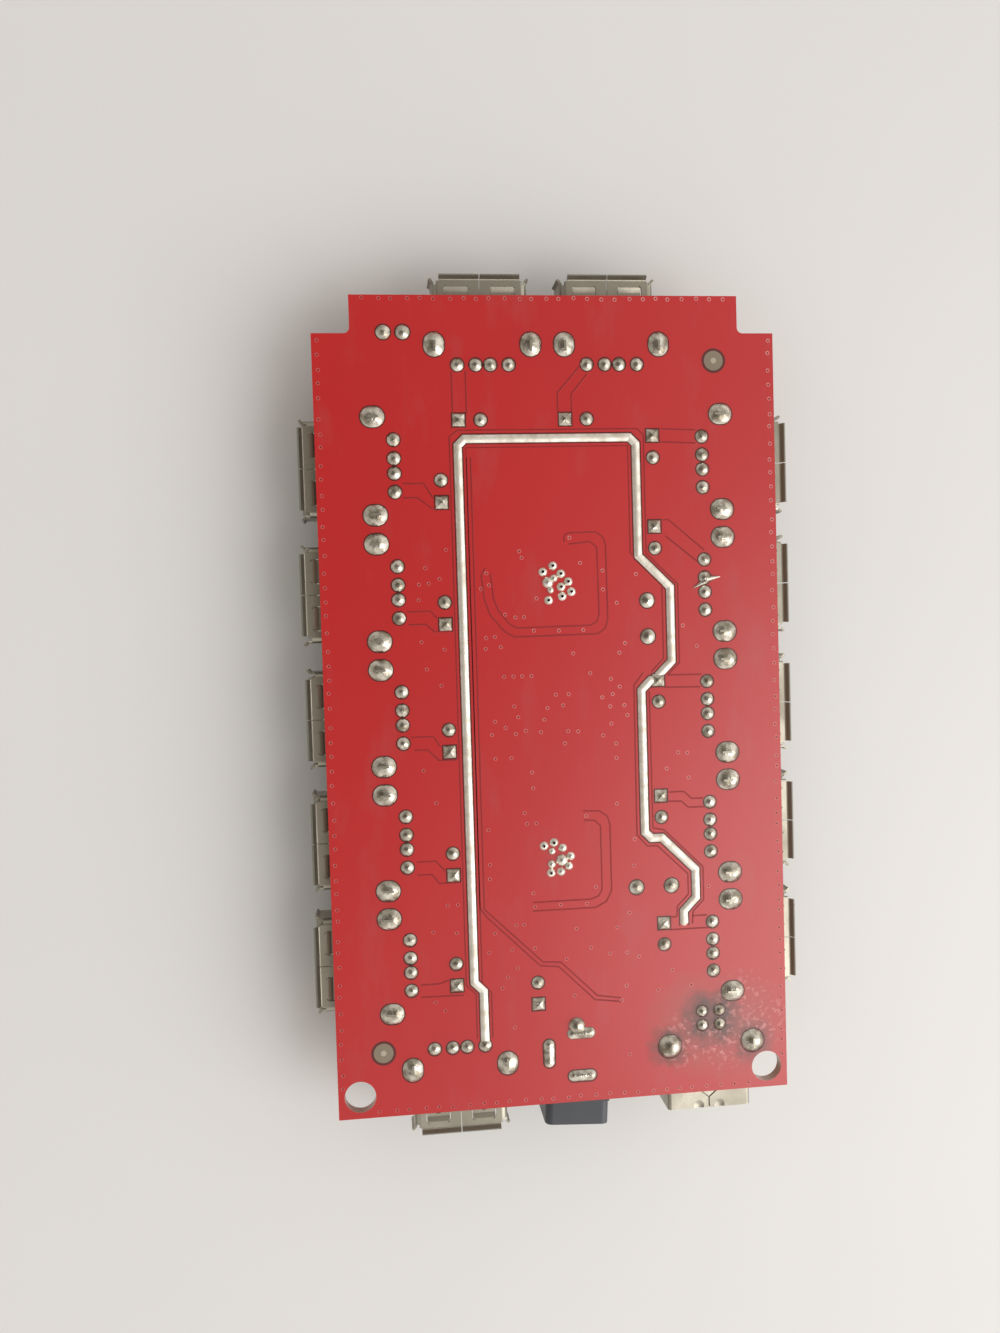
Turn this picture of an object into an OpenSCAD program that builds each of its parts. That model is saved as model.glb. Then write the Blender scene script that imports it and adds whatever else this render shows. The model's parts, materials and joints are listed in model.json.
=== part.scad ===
// Populated hub board with thirteen type A sockets, one type B socket and a round power jack.
// It lies on its components with the solder side up.
// Row frame: X across the board, Y along it towards the end with two sockets, Z up out of the
// solder side. The origin is the middle of the footprint, at the level that the parts stand on.
// Connectors are drawn in a frame of their own: x out of the mouth from the shell's tabs,
// y across, z away from the component side of the board, whose face is z = 0.

/* [Board] */
// Width of the board, across the two long rows
board_w = 63.5; // [62:0.5:90]
// Length of the board
board_l = 111.5; // [110:0.5:150]
// Thickness of the board
board_t = 1.6; // [1.2:0.1:2]
// Side of the notch in each corner of the two-socket end
notch = 5.1; // [3:0.1:5.4]
// Radius in the inner corner of a notch
notch_r = 0.8; // [0.3:0.1:1.5]
// Diameter of the two mounting holes
mount_d = 4.3; // [3:0.1:4.6]
// Distance from the board's edges to the middle of a mounting hole
mount_inset = 3.0; // [2.8:0.1:3.4]
// Height of the component face above what the parts stand on
stand_h = 11.2; // [11.2:0.1:14]
// Clearance where one piece fits in another
fit = 0.05; // [0.02:0.01:0.1]

/* [Socket rows] */
// Pitch of the sockets along the long edges
row_pitch = 17; // [15.5:0.1:17.4]
// Offset of the long rows' middle from the board's middle
row_shift = -1; // [-1.5:0.1:0]
// Distance from the long edges to the tabs of their sockets
side_inset = 7.75; // [7.5:0.05:8.5]
// Pitch of the two sockets at the far end
far_pitch = 17.75; // [15.5:0.05:19]
// Distance from the far end to the tabs of its sockets
far_inset = 6.6; // [6:0.1:6.8]
// Distance from the near end to the tabs of its socket
near_inset = 6.2; // [6:0.1:6.8]
// Place across the board of the single socket at the near end
near_x = -14.9; // [-16:0.1:-14]

/* [Type A socket] */
// Width of the shell
a_w = 13.1; // [12.8:0.1:13.4]
// Height of the shell
a_h = 5.7; // [5.5:0.1:6.2]
// Reach of the mouth in front of the tabs
a_reach = 10.2; // [9:0.05:11]
// Length of the shell behind the tabs
a_back = 4.0; // [3.8:0.1:4.6]
// Gap between the board and the shell
a_gap = 0.4; // [0.2:0.1:0.8]
// Thickness of all the shells' sheet
sheet = 0.3; // [0.25:0.05:0.35]
// Distance between the tab holes of one socket
a_tab_span = 13.14; // [12.9:0.01:13.4]
// Distance from the tabs back to the row of pins
pin_back = 2.71; // [2.5:0.01:2.9]
// Thickness of the tongue
tongue_t = 1.84; // [1.7:0.02:2]
// Width of a spring finger's window
window_w = 3.4; // [2.8:0.1:3.8]
// Gap cut round a spring finger
finger_gap = 0.12; // [0.08:0.02:0.2]
// Angle by which the lips of the wide faces flare out
lip_angle = 52; // [30:1:75]

/* [Type B socket] */
// Width of the shell
b_w = 12.04; // [11.8:0.01:12.4]
// Height of the shell
b_h = 10.8; // [10.5:0.1:11]
// Reach of the mouth in front of the tabs
b_reach = 10.0; // [9.5:0.1:10.5]
// Length of the shell behind the tabs
b_back = 6.1; // [6:0.1:6.6]
// Distance from the right-hand edge to the socket's middle
b_inset_x = 11.0; // [10.8:0.1:12]
// Distance from the near end to the tabs
b_inset_y = 6.85; // [6.5:0.05:7.2]

/* [Power jack] */
// Width of the housing
jack_w = 9.0; // [8.5:0.1:9.4]
// Height of the housing
jack_h = 11.0; // [10.6:0.1:11]
// Reach of the mouth in front of the middle of the terminals
jack_reach = 10.7; // [10:0.1:11.5]
// Length of the housing behind the middle of the terminals
jack_back = 3.7; // [3.6:0.1:4.2]
// Diameter of the barrel
jack_bore = 6.4; // [6:0.1:6.6]
// Diameter of the centre pin
jack_pin_d = 2.0; // [1.6:0.1:2.5]
// Distance from the near end to the middle of the terminals
jack_inset_y = 6.65; // [6.4:0.05:7]
// Place of the jack across the board
jack_x = 2.1; // [1:0.1:3]
// Angle by which the jack was soldered askew
jack_skew = -3.5; // [-5:0.5:0]

/* [Electrolytic capacitors] */
// Diameter of a can
can_d = 6.3; // [5:0.1:6.5]
// Height of a can
can_h = 11.0; // [9:0.1:11]
// Distance between the leads
can_pitch = 3.0; // [2:0.1:3.5]

/* [Solder] */
// Width of the tinned track
track_w = 1.05; // [0.8:0.05:1.3]
// Height of the solder on the tinned track
track_h = 0.25; // [0.1:0.05:0.4]
// Radius of the pads of small pins
pin_pad_r = 0.9; // [0.75:0.05:0.95]
// Height of the solder over a small pin
pin_dome_h = 0.45; // [0.4:0.05:0.7]
// Radius of the pads of shell tabs
tab_pad_r = 1.43; // [1.25:0.01:1.5]
// Height of the solder over a shell tab
tab_dome_h = 0.65; // [0.5:0.05:0.9]

/* [Hidden] */
$fn = 48;

// Places of the sockets on the board: x, y and the direction that the mouth faces
side_x = board_w / 2 - side_inset;
far_y = board_l / 2 - far_inset;
near_y = near_inset - board_l / 2;
ROW_Y = [for (i = [0 : 4]) row_shift + row_pitch * (2 - i)];
PORTS = concat(
    [for (y = ROW_Y) [-side_x, y, 180]],
    [for (y = ROW_Y) [side_x, y, 0]],
    [for (s = [-1, 1]) [s * far_pitch / 2, far_y, 90]],
    [[near_x, near_y, -90]]);
PORT_NAMES = ["left_1", "left_2", "left_3", "left_4", "left_5", "right_1", "right_2",
    "right_3", "right_4", "right_5", "far_1", "far_2", "near_1"];
// How far each socket slid outwards in its holes before it was soldered
LEFT_SLIDES = [-0.05, 0.25, 0.05, -0.05, 0.15];
RIGHT_SLIDES = [-0.25, -0.2, -0.2, -0.15, -0.2];
END_SLIDES = [-0.25, -0.25, -0.2];
SLIDES = concat(LEFT_SLIDES, RIGHT_SLIDES, END_SLIDES);
SEATS = [for (i = [0 : len(PORTS) - 1])
    PORTS[i] + SLIDES[i] * [cos(PORTS[i][2]), sin(PORTS[i][2]), 0]];
B_PLACE = [board_w / 2 - b_inset_x, b_inset_y - board_l / 2, -90];
JACK_PADS = [jack_x, jack_inset_y - board_l / 2, -90];
JACK_PLACE = JACK_PADS + [0, 0, jack_skew];

// One capacitor beside each socket: x, y and the direction of its positive lead
left_can_x = 8.95 - side_x;
right_can_x = side_x - 9.7;
LEFT_CAN_SHIFT = [-3.5, -3.0, -3.4, -3.4, -1.7];
RIGHT_CAN_SHIFT = [2.2, 6.7, 2.4, 3.2, 2.2];
FAR_CAN_SHIFT = [-2.05, -5.2];
LEFT_CANS = [for (i = [0 : 4]) [left_can_x, ROW_Y[i] + LEFT_CAN_SHIFT[i], -90]];
RIGHT_CANS = [for (i = [0 : 4]) [right_can_x, ROW_Y[i] + RIGHT_CAN_SHIFT[i], 90]];
FAR_CANS = [for (i = [0, 1]) [far_pitch * (i - 0.5) + FAR_CAN_SHIFT[i], far_y - 10.1, 180]];
NEAR_CANS = [[near_x + 11.1, near_y + 9.5, -90]];
CANS = concat(LEFT_CANS, RIGHT_CANS, FAR_CANS, NEAR_CANS);

// Crystals, hub chips and the lamp
crystal_x = right_can_x - 1.3;
CRYSTALS = [[crystal_x, ROW_Y[1] - 4.5, 90], [crystal_x, ROW_Y[3] - 8, 0]];
CHIPS = [[0.4, ROW_Y[1] + 0.9, 0], [-0.2, ROW_Y[3] - 3.3, 0]];
LED_PLACE = [10.85 - board_w / 2, board_l / 2 - 4.95, 0];

// The footprint's middle, between the lips of the two long rows, and between the far sockets'
// lips and the jack's front corner
mid_x = (max(RIGHT_SLIDES) - max(LEFT_SLIDES)) / 2;
far_tip = far_y + a_reach + END_SLIDES[0];
near_tip = JACK_PLACE[1] - jack_reach * cos(jack_skew) + jack_w / 2 * sin(jack_skew);
mid_y = (far_tip + near_tip) / 2;

// Pins and tabs
A_PIN_Y = [-3.5, -1, 1, 3.5];
PIN = [0.3, 0.6];
tab_w = 1.7;
LEAD_D = 0.5;
pin_hole_r = 0.5;
tab_hole_r = 1.15;
// Leads end inside their solder, and the tabs' tips just show
lead_end = board_t + pin_dome_h - 0.15;
tab_end = board_t + tab_dome_h + 0.08;

// ---- Frames ----

// Puts a child that is drawn on the component side, z away from the board, in its place
module place(p) {
    translate([p[0] - mid_x, p[1] - mid_y, stand_h]) rotate([0, 0, p[2]]) rotate([180, 0, 0])
        children();
}

// Stands a section drawn in x and y upright and draws it out along x
module along_x(from, to) {
    translate([from, 0, 0]) rotate([90, 0, 90]) linear_extrude(to - from) children();
}

// Draws a side view, x out of the mouth and y away from the board, out across the width w
module across_y(mid, w) {
    translate([0, mid + w / 2, 0]) rotate([90, 0, 0]) linear_extrude(w) children();
}

// ---- Sections ----

// Rectangle with round corners, centred
module rounded(w, h, r) {
    square([w - 2 * r, h], center = true);
    square([w, h - 2 * r], center = true);
    for (x = [-1, 1], y = [-1, 1]) translate([x * (w / 2 - r), y * (h / 2 - r)]) circle(r);
}

// Rectangle with its two far corners cut off, as on the type B plug
module bevelled(w, h, cut) {
    polygon([[-w / 2, -h / 2], [w / 2, -h / 2], [w / 2, h / 2 - cut], [w / 2 - cut, h / 2],
        [cut - w / 2, h / 2], [-w / 2, h / 2 - cut]]);
}

// Points of an arc round c, from angle a to angle b
function arc(c, r, a, b, steps = 4) =
    [for (i = [0 : steps]) c + r * [cos(a + (b - a) * i / steps), sin(a + (b - a) * i / steps)]];

// Outline of a strip of thickness t whose middle line is p
function unit(v) = v / norm(v);
function normal_at(p, i) =
    let (v = unit(p[min(i + 1, len(p) - 1)] - p[max(i - 1, 0)])) [-v[1], v[0]];
function strip(p, t) = concat(
    [for (i = [0 : len(p) - 1]) p[i] + normal_at(p, i) * t / 2],
    [for (i = [len(p) - 1 : -1 : 0]) p[i] - normal_at(p, i) * t / 2]);

// ---- Solder ----

// Section of a low solder dome of radius r and height h
module cap_section(r, h) {
    ball = (r * r + h * h) / (2 * h);
    intersection() {
        translate([0, h - ball]) circle(ball);
        translate([-2 * r, 0]) square([4 * r, 2 * h]);
    }
}

module cap_half(r, h) {
    intersection() {
        cap_section(r, h);
        square([2 * r, 2 * h]);
    }
}

// Low solder dome on the solder side, stretched by s along x
module dome(r, h, s = 0) {
    translate([0, 0, -board_t]) mirror([0, 0, 1]) {
        if (s == 0) rotate_extrude() cap_half(r, h);
        else {
            for (a = [-90, 90]) rotate([0, 0, a]) translate([0, s / 2, 0])
                rotate_extrude(angle = 180) cap_half(r, h);
            along_x(-s / 2, s / 2) cap_section(r, h);
        }
    }
}

// Four-sided solder dome on a square pad of half side r
module square_dome(r, h) {
    translate([0, 0, -board_t]) mirror([0, 0, 1]) intersection_for (a = [0, 90])
        rotate([0, 0, a]) along_x(-r, r) cap_section(r, h);
}

// Solder in a plated hole of radius r, stretched by s along x
module barrel(r, s = 0) {
    translate([0, 0, -board_t]) slot_hole(r, s, board_t);
}

// Round hole or slot, h deep
module slot_hole(r, s, h) {
    for (x = s > 0 ? [-s / 2, s / 2] : [0]) translate([x, 0, 0]) cylinder(h = h, r = r);
    if (s > 0) translate([-s / 2, -r, 0]) cube([s, 2 * r, h]);
}

// ---- Type A socket ----

a_half_w = a_w / 2 - sheet / 2;
a_floor_x = -1.0;
a_low = a_gap + sheet / 2;
a_high = a_gap + a_h - sheet / 2;
lip_r = 0.45;
lip_run = 0.8;
lip_w = a_w - 2;
seam = 0.12;

// Lip rolled outwards at the mouth: its middle line starts where the sleeve ends
module lip(w, angle, length) {
    start = a_reach - lip_run;
    line = concat([[start - 0.6, 0]], arc([start, lip_r], lip_r, -90, angle - 90),
        [[start, lip_r] + lip_r * [sin(angle), -cos(angle)] + length * [cos(angle), sin(angle)]]);
    across_y(0, w) polygon(strip(line, sheet));
}

// Outline of the window from x = from to its rounded mouth end, smaller by g all round
module finger_outline(from, g) {
    end = a_reach - lip_run - 0.45 - g;
    half = window_w / 2 - g;
    r = 0.7 - g;
    translate([from, -half]) square([end - r - from, 2 * half]);
    translate([from, r - half]) square([end - from, 2 * (half - r)]);
    for (s = [-1, 1]) translate([end - r, s * (half - r)]) circle(r);
}

// Opening round a finger
module finger_window() {
    linear_extrude(1) finger_outline(window_back, 0);
}

// Spring finger: rooted behind, its tip flush again with the shell. It fills its window but for
// the gap, and a contact bump of height h is pressed in near its tip.
window_back = 1.6;
finger_y = 3.2;
bump_r = 0.8;
module finger(dip, h) {
    tip = a_reach - lip_run;
    line = [[window_back - 0.7, 0], [window_back, 0], [5.2, dip], [tip - 1.5, dip],
        [tip - 0.8, 0], [tip, 0]];
    bump = [tip - 2.65, 0, dip - sheet / 2];
    ball = (bump_r * bump_r + h * h) / (2 * h);
    difference() {
        union() {
            intersection() {
                across_y(0, window_w) polygon(strip(line, sheet));
                translate([0, 0, -1]) linear_extrude(3)
                    finger_outline(window_back - 1, finger_gap);
            }
            translate(bump) rotate_extrude() cap_half(bump_r + 0.25, h + sheet);
        }
        translate(bump + [0, 0, h - ball]) sphere(ball);
    }
}

module a_sleeve() {
    translate([0, 0, a_gap + a_h / 2]) along_x(-a_back, a_reach - lip_run) difference() {
        rounded(a_w, a_h, 0.9);
        rounded(a_w - 2 * sheet, a_h - 2 * sheet, 0.9 - sheet);
    }
}

// Tab through the board: the kinked strip whose middle line is given, tapered at its tip
module tab(line, w, tip) {
    intersection() {
        along_x(-w / 2, w / 2) polygon(strip(line, sheet));
        across_y(0, 4 * b_w) polygon([[-w / 2, 2], [-w / 2, -board_t], [-0.4 * w, -tip],
            [0.4 * w, -tip], [w / 2, -board_t], [w / 2, 2]]);
    }
}

// Tab with its kink, and the shoulder that stands on the board
module a_tab() {
    hole_y = a_tab_span / 2;
    tab([[a_half_w, 1.4], [a_half_w, 0.1], [hole_y + 0.1, -0.8], [hole_y - 0.05, -1.7],
        [hole_y - 0.05, -tab_end - 0.1]], tab_w, tab_end);
    translate([-1.7, a_half_w - sheet / 2, 0]) cube([3.4, sheet, a_gap + 1]);
}

module a_shell() {
    difference() {
        union() {
            a_sleeve();
            // back plate folded down from the far face
            translate([-a_back, 0.9 - a_w / 2, a_gap + 0.5]) cube([sheet, a_w - 1.8, a_h - 0.6]);
        }
        // open under the insulator, so that it stands on the board
        translate([-a_back - 1, sheet - a_w / 2, -1])
            cube([a_back + 1 + a_floor_x, a_w - 2 * sheet, 1.9]);
        // butt seam down the middle of the face on the board's side
        translate([a_floor_x, -seam / 2, -0.1]) cube([a_reach + 2, seam, a_gap + sheet + 0.1]);
        for (s = [-1, 1], z = [a_gap - 0.3, a_high - 0.5])
            translate([0, s * finger_y, z]) finger_window();
        // relief notches at the corners of the mouth
        for (y = [-1, 1], z = [a_gap, a_gap + a_h])
            translate([a_reach - lip_run - 0.5, y * a_w / 2, z]) rotate([0, 90, 0])
                cylinder(h = 2, r = 0.75);
    }
    for (s = [-1, 1]) {
        translate([0, s * finger_y, a_low]) finger(0.25, 0.6);
        translate([0, s * finger_y, a_high]) mirror([0, 0, 1]) finger(0.1, 0.4);
        mirror([0, s < 0 ? 1 : 0, 0]) a_tab();
        // lips of the side walls
        mirror([0, s < 0 ? 1 : 0, 0]) translate([0, a_half_w, a_gap + a_h / 2])
            rotate([-90, 0, 0]) lip(3.7, 50, 0.35);
    }
    // lips of the two wide faces, the one on the board's side parted by the seam
    translate([0, 0, a_high]) lip(lip_w, lip_angle, 0.55);
    difference() {
        translate([0, 0, a_low]) mirror([0, 0, 1]) lip(lip_w, lip_angle, 0.55);
        translate([0, -seam / 2, -2]) cube([a_reach + 1, seam, 4]);
    }
}

tongue_far = a_gap + a_h - sheet - 0.72;
tongue_face = tongue_far - tongue_t;
contact_t = 0.25;

// Contacts: a blade along the tongue and a tail down through the board; g is added all round
module a_contacts(g = 0) {
    mid = tongue_face + contact_t / 2 - 0.05;
    for (i = [0 : 3]) {
        tip = i == 0 || i == 3 ? 7.5 : 6.5;
        across_y(A_PIN_Y[i], 1.0 + 2 * g)
            translate([-pin_back - PIN[0] / 2 - g, mid - contact_t / 2 - g])
                square([tip + pin_back + PIN[0] / 2 + 2 * g, contact_t + 2 * g]);
        translate([-pin_back - PIN[0] / 2 - g, A_PIN_Y[i] - PIN[1] / 2 - g, -lead_end])
            cube([PIN[0] + 2 * g, PIN[1] + 2 * g, lead_end + mid]);
    }
}

module a_insulator() {
    inner_w = a_w - 2 * sheet - 2 * fit;
    inner_h = a_h - 2 * sheet - 2 * fit;
    difference() {
        union() {
            translate([0, 0, a_gap + a_h / 2]) along_x(sheet + fit - a_back, -0.9)
                rounded(inner_w, inner_h, 0.9 - sheet);
            // foot on the board, inside the shell's open underside
            translate([sheet + fit - a_back, 0.3 - inner_w / 2, 0])
                cube([a_back + a_floor_x - sheet - 2 * fit, inner_w - 0.6, 1.5]);
            // tongue with its front edge bevelled
            across_y(0, 11.1) polygon([[-1, tongue_face], [7.8, tongue_face],
                [8.2, tongue_face + 0.4], [8.2, tongue_far - 0.4], [7.8, tongue_far],
                [-1, tongue_far]]);
        }
        a_contacts(fit);
    }
}

// Joints of a socket that slid outwards by slide
module a_joints(slide) {
    difference() {
        for (y = A_PIN_Y) translate([-pin_back, y, 0]) {
            dome(pin_pad_r, pin_dome_h);
            barrel(pin_hole_r - fit);
        }
        translate([slide, 0, 0]) a_contacts();
    }
    for (s = [-1, 1]) difference() {
        translate([0, s * a_tab_span / 2, 0]) {
            dome(tab_pad_r, tab_dome_h, 0.45);
            barrel(tab_hole_r - fit);
        }
        translate([slide, 0, 0]) mirror([0, s < 0 ? 1 : 0, 0]) a_tab();
    }
}

module a_holes() {
    for (y = A_PIN_Y) translate([-pin_back, y, -board_t - 1]) cylinder(h = 3, r = pin_hole_r);
    for (s = [-1, 1]) translate([0, s * a_tab_span / 2, -board_t - 1])
        cylinder(h = 3, r = tab_hole_r);
}

// ---- Type B socket ----

b_gap = 0.15;
b_mid = b_gap + b_h / 2;
b_plug_w = 8.45;
b_plug_h = 7.78;
b_tab_y = b_w / 2;
b_floor_x = -1.6;
b_fork = b_reach - 1.5;
b_seam = 0.2;
b_tab_dome_h = 1.0;
b_tab_end = board_t + b_tab_dome_h + 0.08;
B_PINS = [[-pin_back, -1.25], [-pin_back, 1.25], [-pin_back - 2, -1.25], [-pin_back - 2, 1.25]];

module b_tab() {
    tab([[b_w / 2 - sheet / 2, 1.4], [b_w / 2 - sheet / 2, 0.1], [b_tab_y + 0.1, -0.8],
        [b_tab_y - 0.1, -1.7], [b_tab_y - 0.1, -b_tab_end - 0.1]], tab_w, b_tab_end);
    translate([-1.6, b_w / 2 - sheet, 0]) cube([3.2, sheet, 1]);
}

module b_shell() {
    difference() {
        union() {
            translate([0, 0, b_mid]) along_x(-b_back, b_reach) difference() {
                rounded(b_w, b_h, 0.5);
                rounded(b_w - 2 * sheet, b_h - 2 * sheet, 0.5 - sheet);
            }
            translate([0, 0, b_mid]) along_x(-b_back, sheet - b_back) rounded(b_w, b_h, 0.5);
            // frame folded in round the plug's opening
            translate([0, 0, b_mid]) along_x(b_reach - sheet, b_reach) difference() {
                rounded(b_w, b_h, 0.5);
                bevelled(b_plug_w + 0.3, b_plug_h + 0.3, 1.7);
            }
        }
        // open under the insulator
        translate([-b_back - 1, 0.6 - b_w / 2, -1])
            cube([b_back + 1 + b_floor_x, b_w - 1.2, 1.9]);
        // seam from the mouth, forked round a locking key
        for (a = [0, 180 - 50, 180 + 50]) translate([b_fork, 0, -0.1]) rotate([0, 0, a])
            translate([0, -b_seam / 2, 0]) cube([1.9, b_seam, b_gap + sheet + 0.1]);
        // two marks pressed in near the mouth
        for (s = [-1, 1]) translate([b_reach - 0.35, s * 1.5, b_gap - 1.85]) sphere(2.0);
    }
    for (s = [-1, 1]) mirror([0, s < 0 ? 1 : 0, 0]) b_tab();
}

// Contacts: two blades above and two below the tongue, with their tails in two rows
module b_contacts(g = 0) {
    for (p = B_PINS) {
        up = p[0] < -pin_back ? 1 : -1;
        mid = b_mid + up * (3.18 / 2 - 0.05);
        across_y(p[1], 1.0 + 2 * g) translate([p[0] - 0.25 - g, mid - 0.15 - g])
            square([7.7 - p[0] + 2 * g, 0.3 + 2 * g]);
        translate([p[0] - 0.25 - g, p[1] - 0.25 - g, -lead_end])
            cube([0.5 + 2 * g, 0.5 + 2 * g, lead_end + mid]);
    }
}

module b_insulator() {
    w = b_w - 2 * sheet - 2 * fit;
    h = b_h - 2 * sheet - 2 * fit;
    difference() {
        union() {
            translate([0, 0, b_mid]) difference() {
                along_x(sheet + fit - b_back, b_reach - sheet - fit) rounded(w, h, 0.3);
                along_x(0.4, b_reach) bevelled(b_plug_w, b_plug_h, 1.6);
            }
            translate([sheet + fit - b_back, 0.7 - b_w / 2, 0])
                cube([b_back + b_floor_x - sheet - 2 * fit, b_w - 1.4, 1.2]);
            // tongue with its front edge bevelled
            across_y(0, 5.6) translate([0, b_mid]) polygon([[0, -1.59], [8.3, -1.59],
                [8.8, -1.1], [8.8, 1.1], [8.3, 1.59], [0, 1.59]]);
        }
        b_contacts(fit);
    }
}

module b_joints() {
    difference() {
        for (p = B_PINS) translate([p[0], p[1], 0]) {
            dome(0.82, 0.5);
            barrel(pin_hole_r - fit);
        }
        b_contacts();
    }
    for (s = [-1, 1]) difference() {
        translate([0, s * b_tab_y, 0]) {
            dome(1.68, b_tab_dome_h);
            barrel(tab_hole_r - fit);
        }
        mirror([0, s < 0 ? 1 : 0, 0]) b_tab();
    }
}

module b_holes() {
    for (p = B_PINS) translate([p[0], p[1], -board_t - 1]) cylinder(h = 3, r = pin_hole_r);
    for (s = [-1, 1]) translate([0, s * b_tab_y, -board_t - 1]) cylinder(h = 3, r = tab_hole_r);
}

// ---- Power jack ----

jack_axis = 6.4;
jack_collar = 3.4;
jack_floor = 0.9;
jack_slot_x = 3.0;
jack_side_x = -0.45;
jack_side_y = 4.6;

// Round-ended lug of sheet that goes through a slot of the board
module lug(w, t, top) {
    translate([-t / 2, -w / 2, -lead_end]) cube([t, w, lead_end + top]);
}

module centre_pin(g = 0) {
    translate([jack_floor - jack_back, 0, jack_axis]) rotate([0, 90, 0]) {
        // turned pin with a domed tip, riveted through the lug behind
        cylinder(h = jack_reach + jack_back - jack_floor - 2.2, r = jack_pin_d / 2 + g);
        translate([0, 0, jack_reach + jack_back - jack_floor - 2.2]) sphere(jack_pin_d / 2 + g);
        translate([0, 0, -jack_floor - 0.2]) cylinder(h = jack_floor + 0.3, r = 0.7 + g);
    }
    // lug down the back of the housing, then forward to the rear slot
    line = [[-jack_back - 0.2, jack_axis + 1.6], [-jack_back - 0.2, 1.3],
        [-jack_slot_x, 0.5], [-jack_slot_x, -lead_end]];
    across_y(0, 2.4 + 2 * g) polygon(strip(line, 0.4 + 2 * g));
}

// Spring under the barrel that presses on the plug's sleeve, with its lug in the front slot
module sleeve_spring(g = 0) {
    line = concat([[jack_slot_x, -lead_end], [jack_slot_x, 1.0]],
        arc([jack_slot_x + 0.8, 1.2], 0.8, 180, 90, 3), [[5.6, 2.5], [6.6, 3.4], [7.2, 2.9]]);
    across_y(0, 2.4 + 2 * g) polygon(strip(line, 0.4 + 2 * g));
}

// Switch contact at the side of the barrel
module switch_spring(g = 0) {
    translate([jack_side_x, jack_side_y, 0]) {
        translate([-1.2 - g, -0.2 - g, -lead_end]) cube([2.4 + 2 * g, 0.4 + 2 * g, lead_end + 7]);
        translate([-1.2 - g, -0.2 - g, 5.6]) cube([4.6 + 2 * g, 0.4 + 2 * g, 1.6 + g]);
    }
}

module housing() {
    difference() {
        union() {
            // collar at the mouth, its corners rounded
            translate([0, 0, jack_h / 2]) along_x(jack_reach - jack_collar, jack_reach)
                rounded(jack_w, jack_h, 1.0);
            // body: a foot with straight sides under the round barrel
            along_x(-jack_back, jack_reach - jack_collar + 0.1) {
                translate([-jack_w / 2, 0]) square([jack_w - 0.05, 4.8]);
                translate([0, jack_axis]) circle(4.2);
                translate([-4.2, 0]) square([8.4, jack_axis]);
            }
        }
        translate([jack_floor - jack_back, 0, jack_axis]) rotate([0, 90, 0])
            cylinder(h = 30, r = jack_bore / 2);
        // lead-in at the mouth
        translate([jack_reach - 0.4, 0, jack_axis]) rotate([0, 90, 0])
            cylinder(h = 1, r1 = jack_bore / 2, r2 = jack_bore / 2 + 1);
        // channel for the sleeve spring, open below as far as the board covers it
        translate([jack_slot_x - 0.4, -1.4, -1]) cube([2.8, 2.8, jack_axis]);
        translate([jack_slot_x - 0.4, -1.4, 1.2]) cube([5.2, 2.8, jack_axis - 2.2]);
        // channels for the centre pin's rivet and lug
        centre_pin(fit);
        translate([-jack_back - 1, -1.35, -1]) cube([1 + jack_back - jack_slot_x + 0.45, 2.7, 2.6]);
        // window for the switch contact
        translate([jack_side_x - 1.4, 4.2, -1]) cube([5.4, 2, 8.6]);
    }
}

module jack_barrels(g) {
    for (x = [-jack_slot_x, jack_slot_x]) translate([x, 0, 0]) rotate([0, 0, 90])
        barrel(0.55 - g, 2.1);
    translate([jack_side_x, jack_side_y, 0]) barrel(0.55 - g, 2.1);
}

module jack_joints() {
    for (x = [-jack_slot_x, jack_slot_x])
        translate([x, 0, 0]) rotate([0, 0, 90]) dome(0.83, pin_dome_h, 2.4);
    translate([jack_side_x, jack_side_y, 0]) dome(0.83, pin_dome_h, 2.4);
    // excess solder over the rear lug
    translate([-jack_slot_x - 1.1, 0.6, 0]) dome(1.2, 0.75);
    jack_barrels(fit);
}

// ---- Capacitors, crystals, lamp ----

module leads(pitch, d, from) {
    for (s = [-1, 1]) translate([s * pitch / 2, 0, -lead_end])
        cylinder(h = lead_end + from, r = d / 2);
}

lead_hole_r = 0.4;

module lead_joints(pitch, d, r, square_pad) {
    for (s = [-1, 1]) difference() {
        translate([s * pitch / 2, 0, 0]) {
            if (square_pad && s > 0) square_dome(r, pin_dome_h);
            else dome(r, pin_dome_h);
            barrel(lead_hole_r - fit);
        }
        leads(pitch, d, 0);
    }
}

module lead_holes(pitch) {
    for (s = [-1, 1]) translate([s * pitch / 2, 0, -board_t - 1]) cylinder(h = 3, r = lead_hole_r);
}

// Can with its sleeve, crimped over the rubber bung, and the vent scored across its top
module capacitor() {
    r = can_d / 2;
    foot = stand_h - can_h;
    shoulder_r = 0.4;
    top_dip = 0.15;
    top_r = r - 0.75;
    score_l = 3.8;
    score_w = 0.2;
    difference() {
        rotate_extrude() union() {
            difference() {
                translate([0, foot]) square([r, can_h]);
                translate([r + 0.35, foot + 1.7]) circle(0.65);
                translate([r - shoulder_r, stand_h - shoulder_r]) difference() {
                    square(1);
                    circle(shoulder_r);
                }
                translate([0, stand_h - top_dip]) square([top_r, 1]);
            }
            square([r - 1, foot + 0.1]);
        }
        for (a = [0, 60, 120]) rotate([0, 0, a])
            translate([-score_l / 2, -score_w / 2, stand_h - 2 * top_dip])
                cube([score_l, score_w, 1]);
    }
    leads(can_pitch, LEAD_D, foot + 0.3);
}

crystal_pitch = 5.0;
crystal_lead_d = 0.45;
crystal_l = 10.2;
crystal_w = 3.8;
crystal_h = 3.5;
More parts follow.
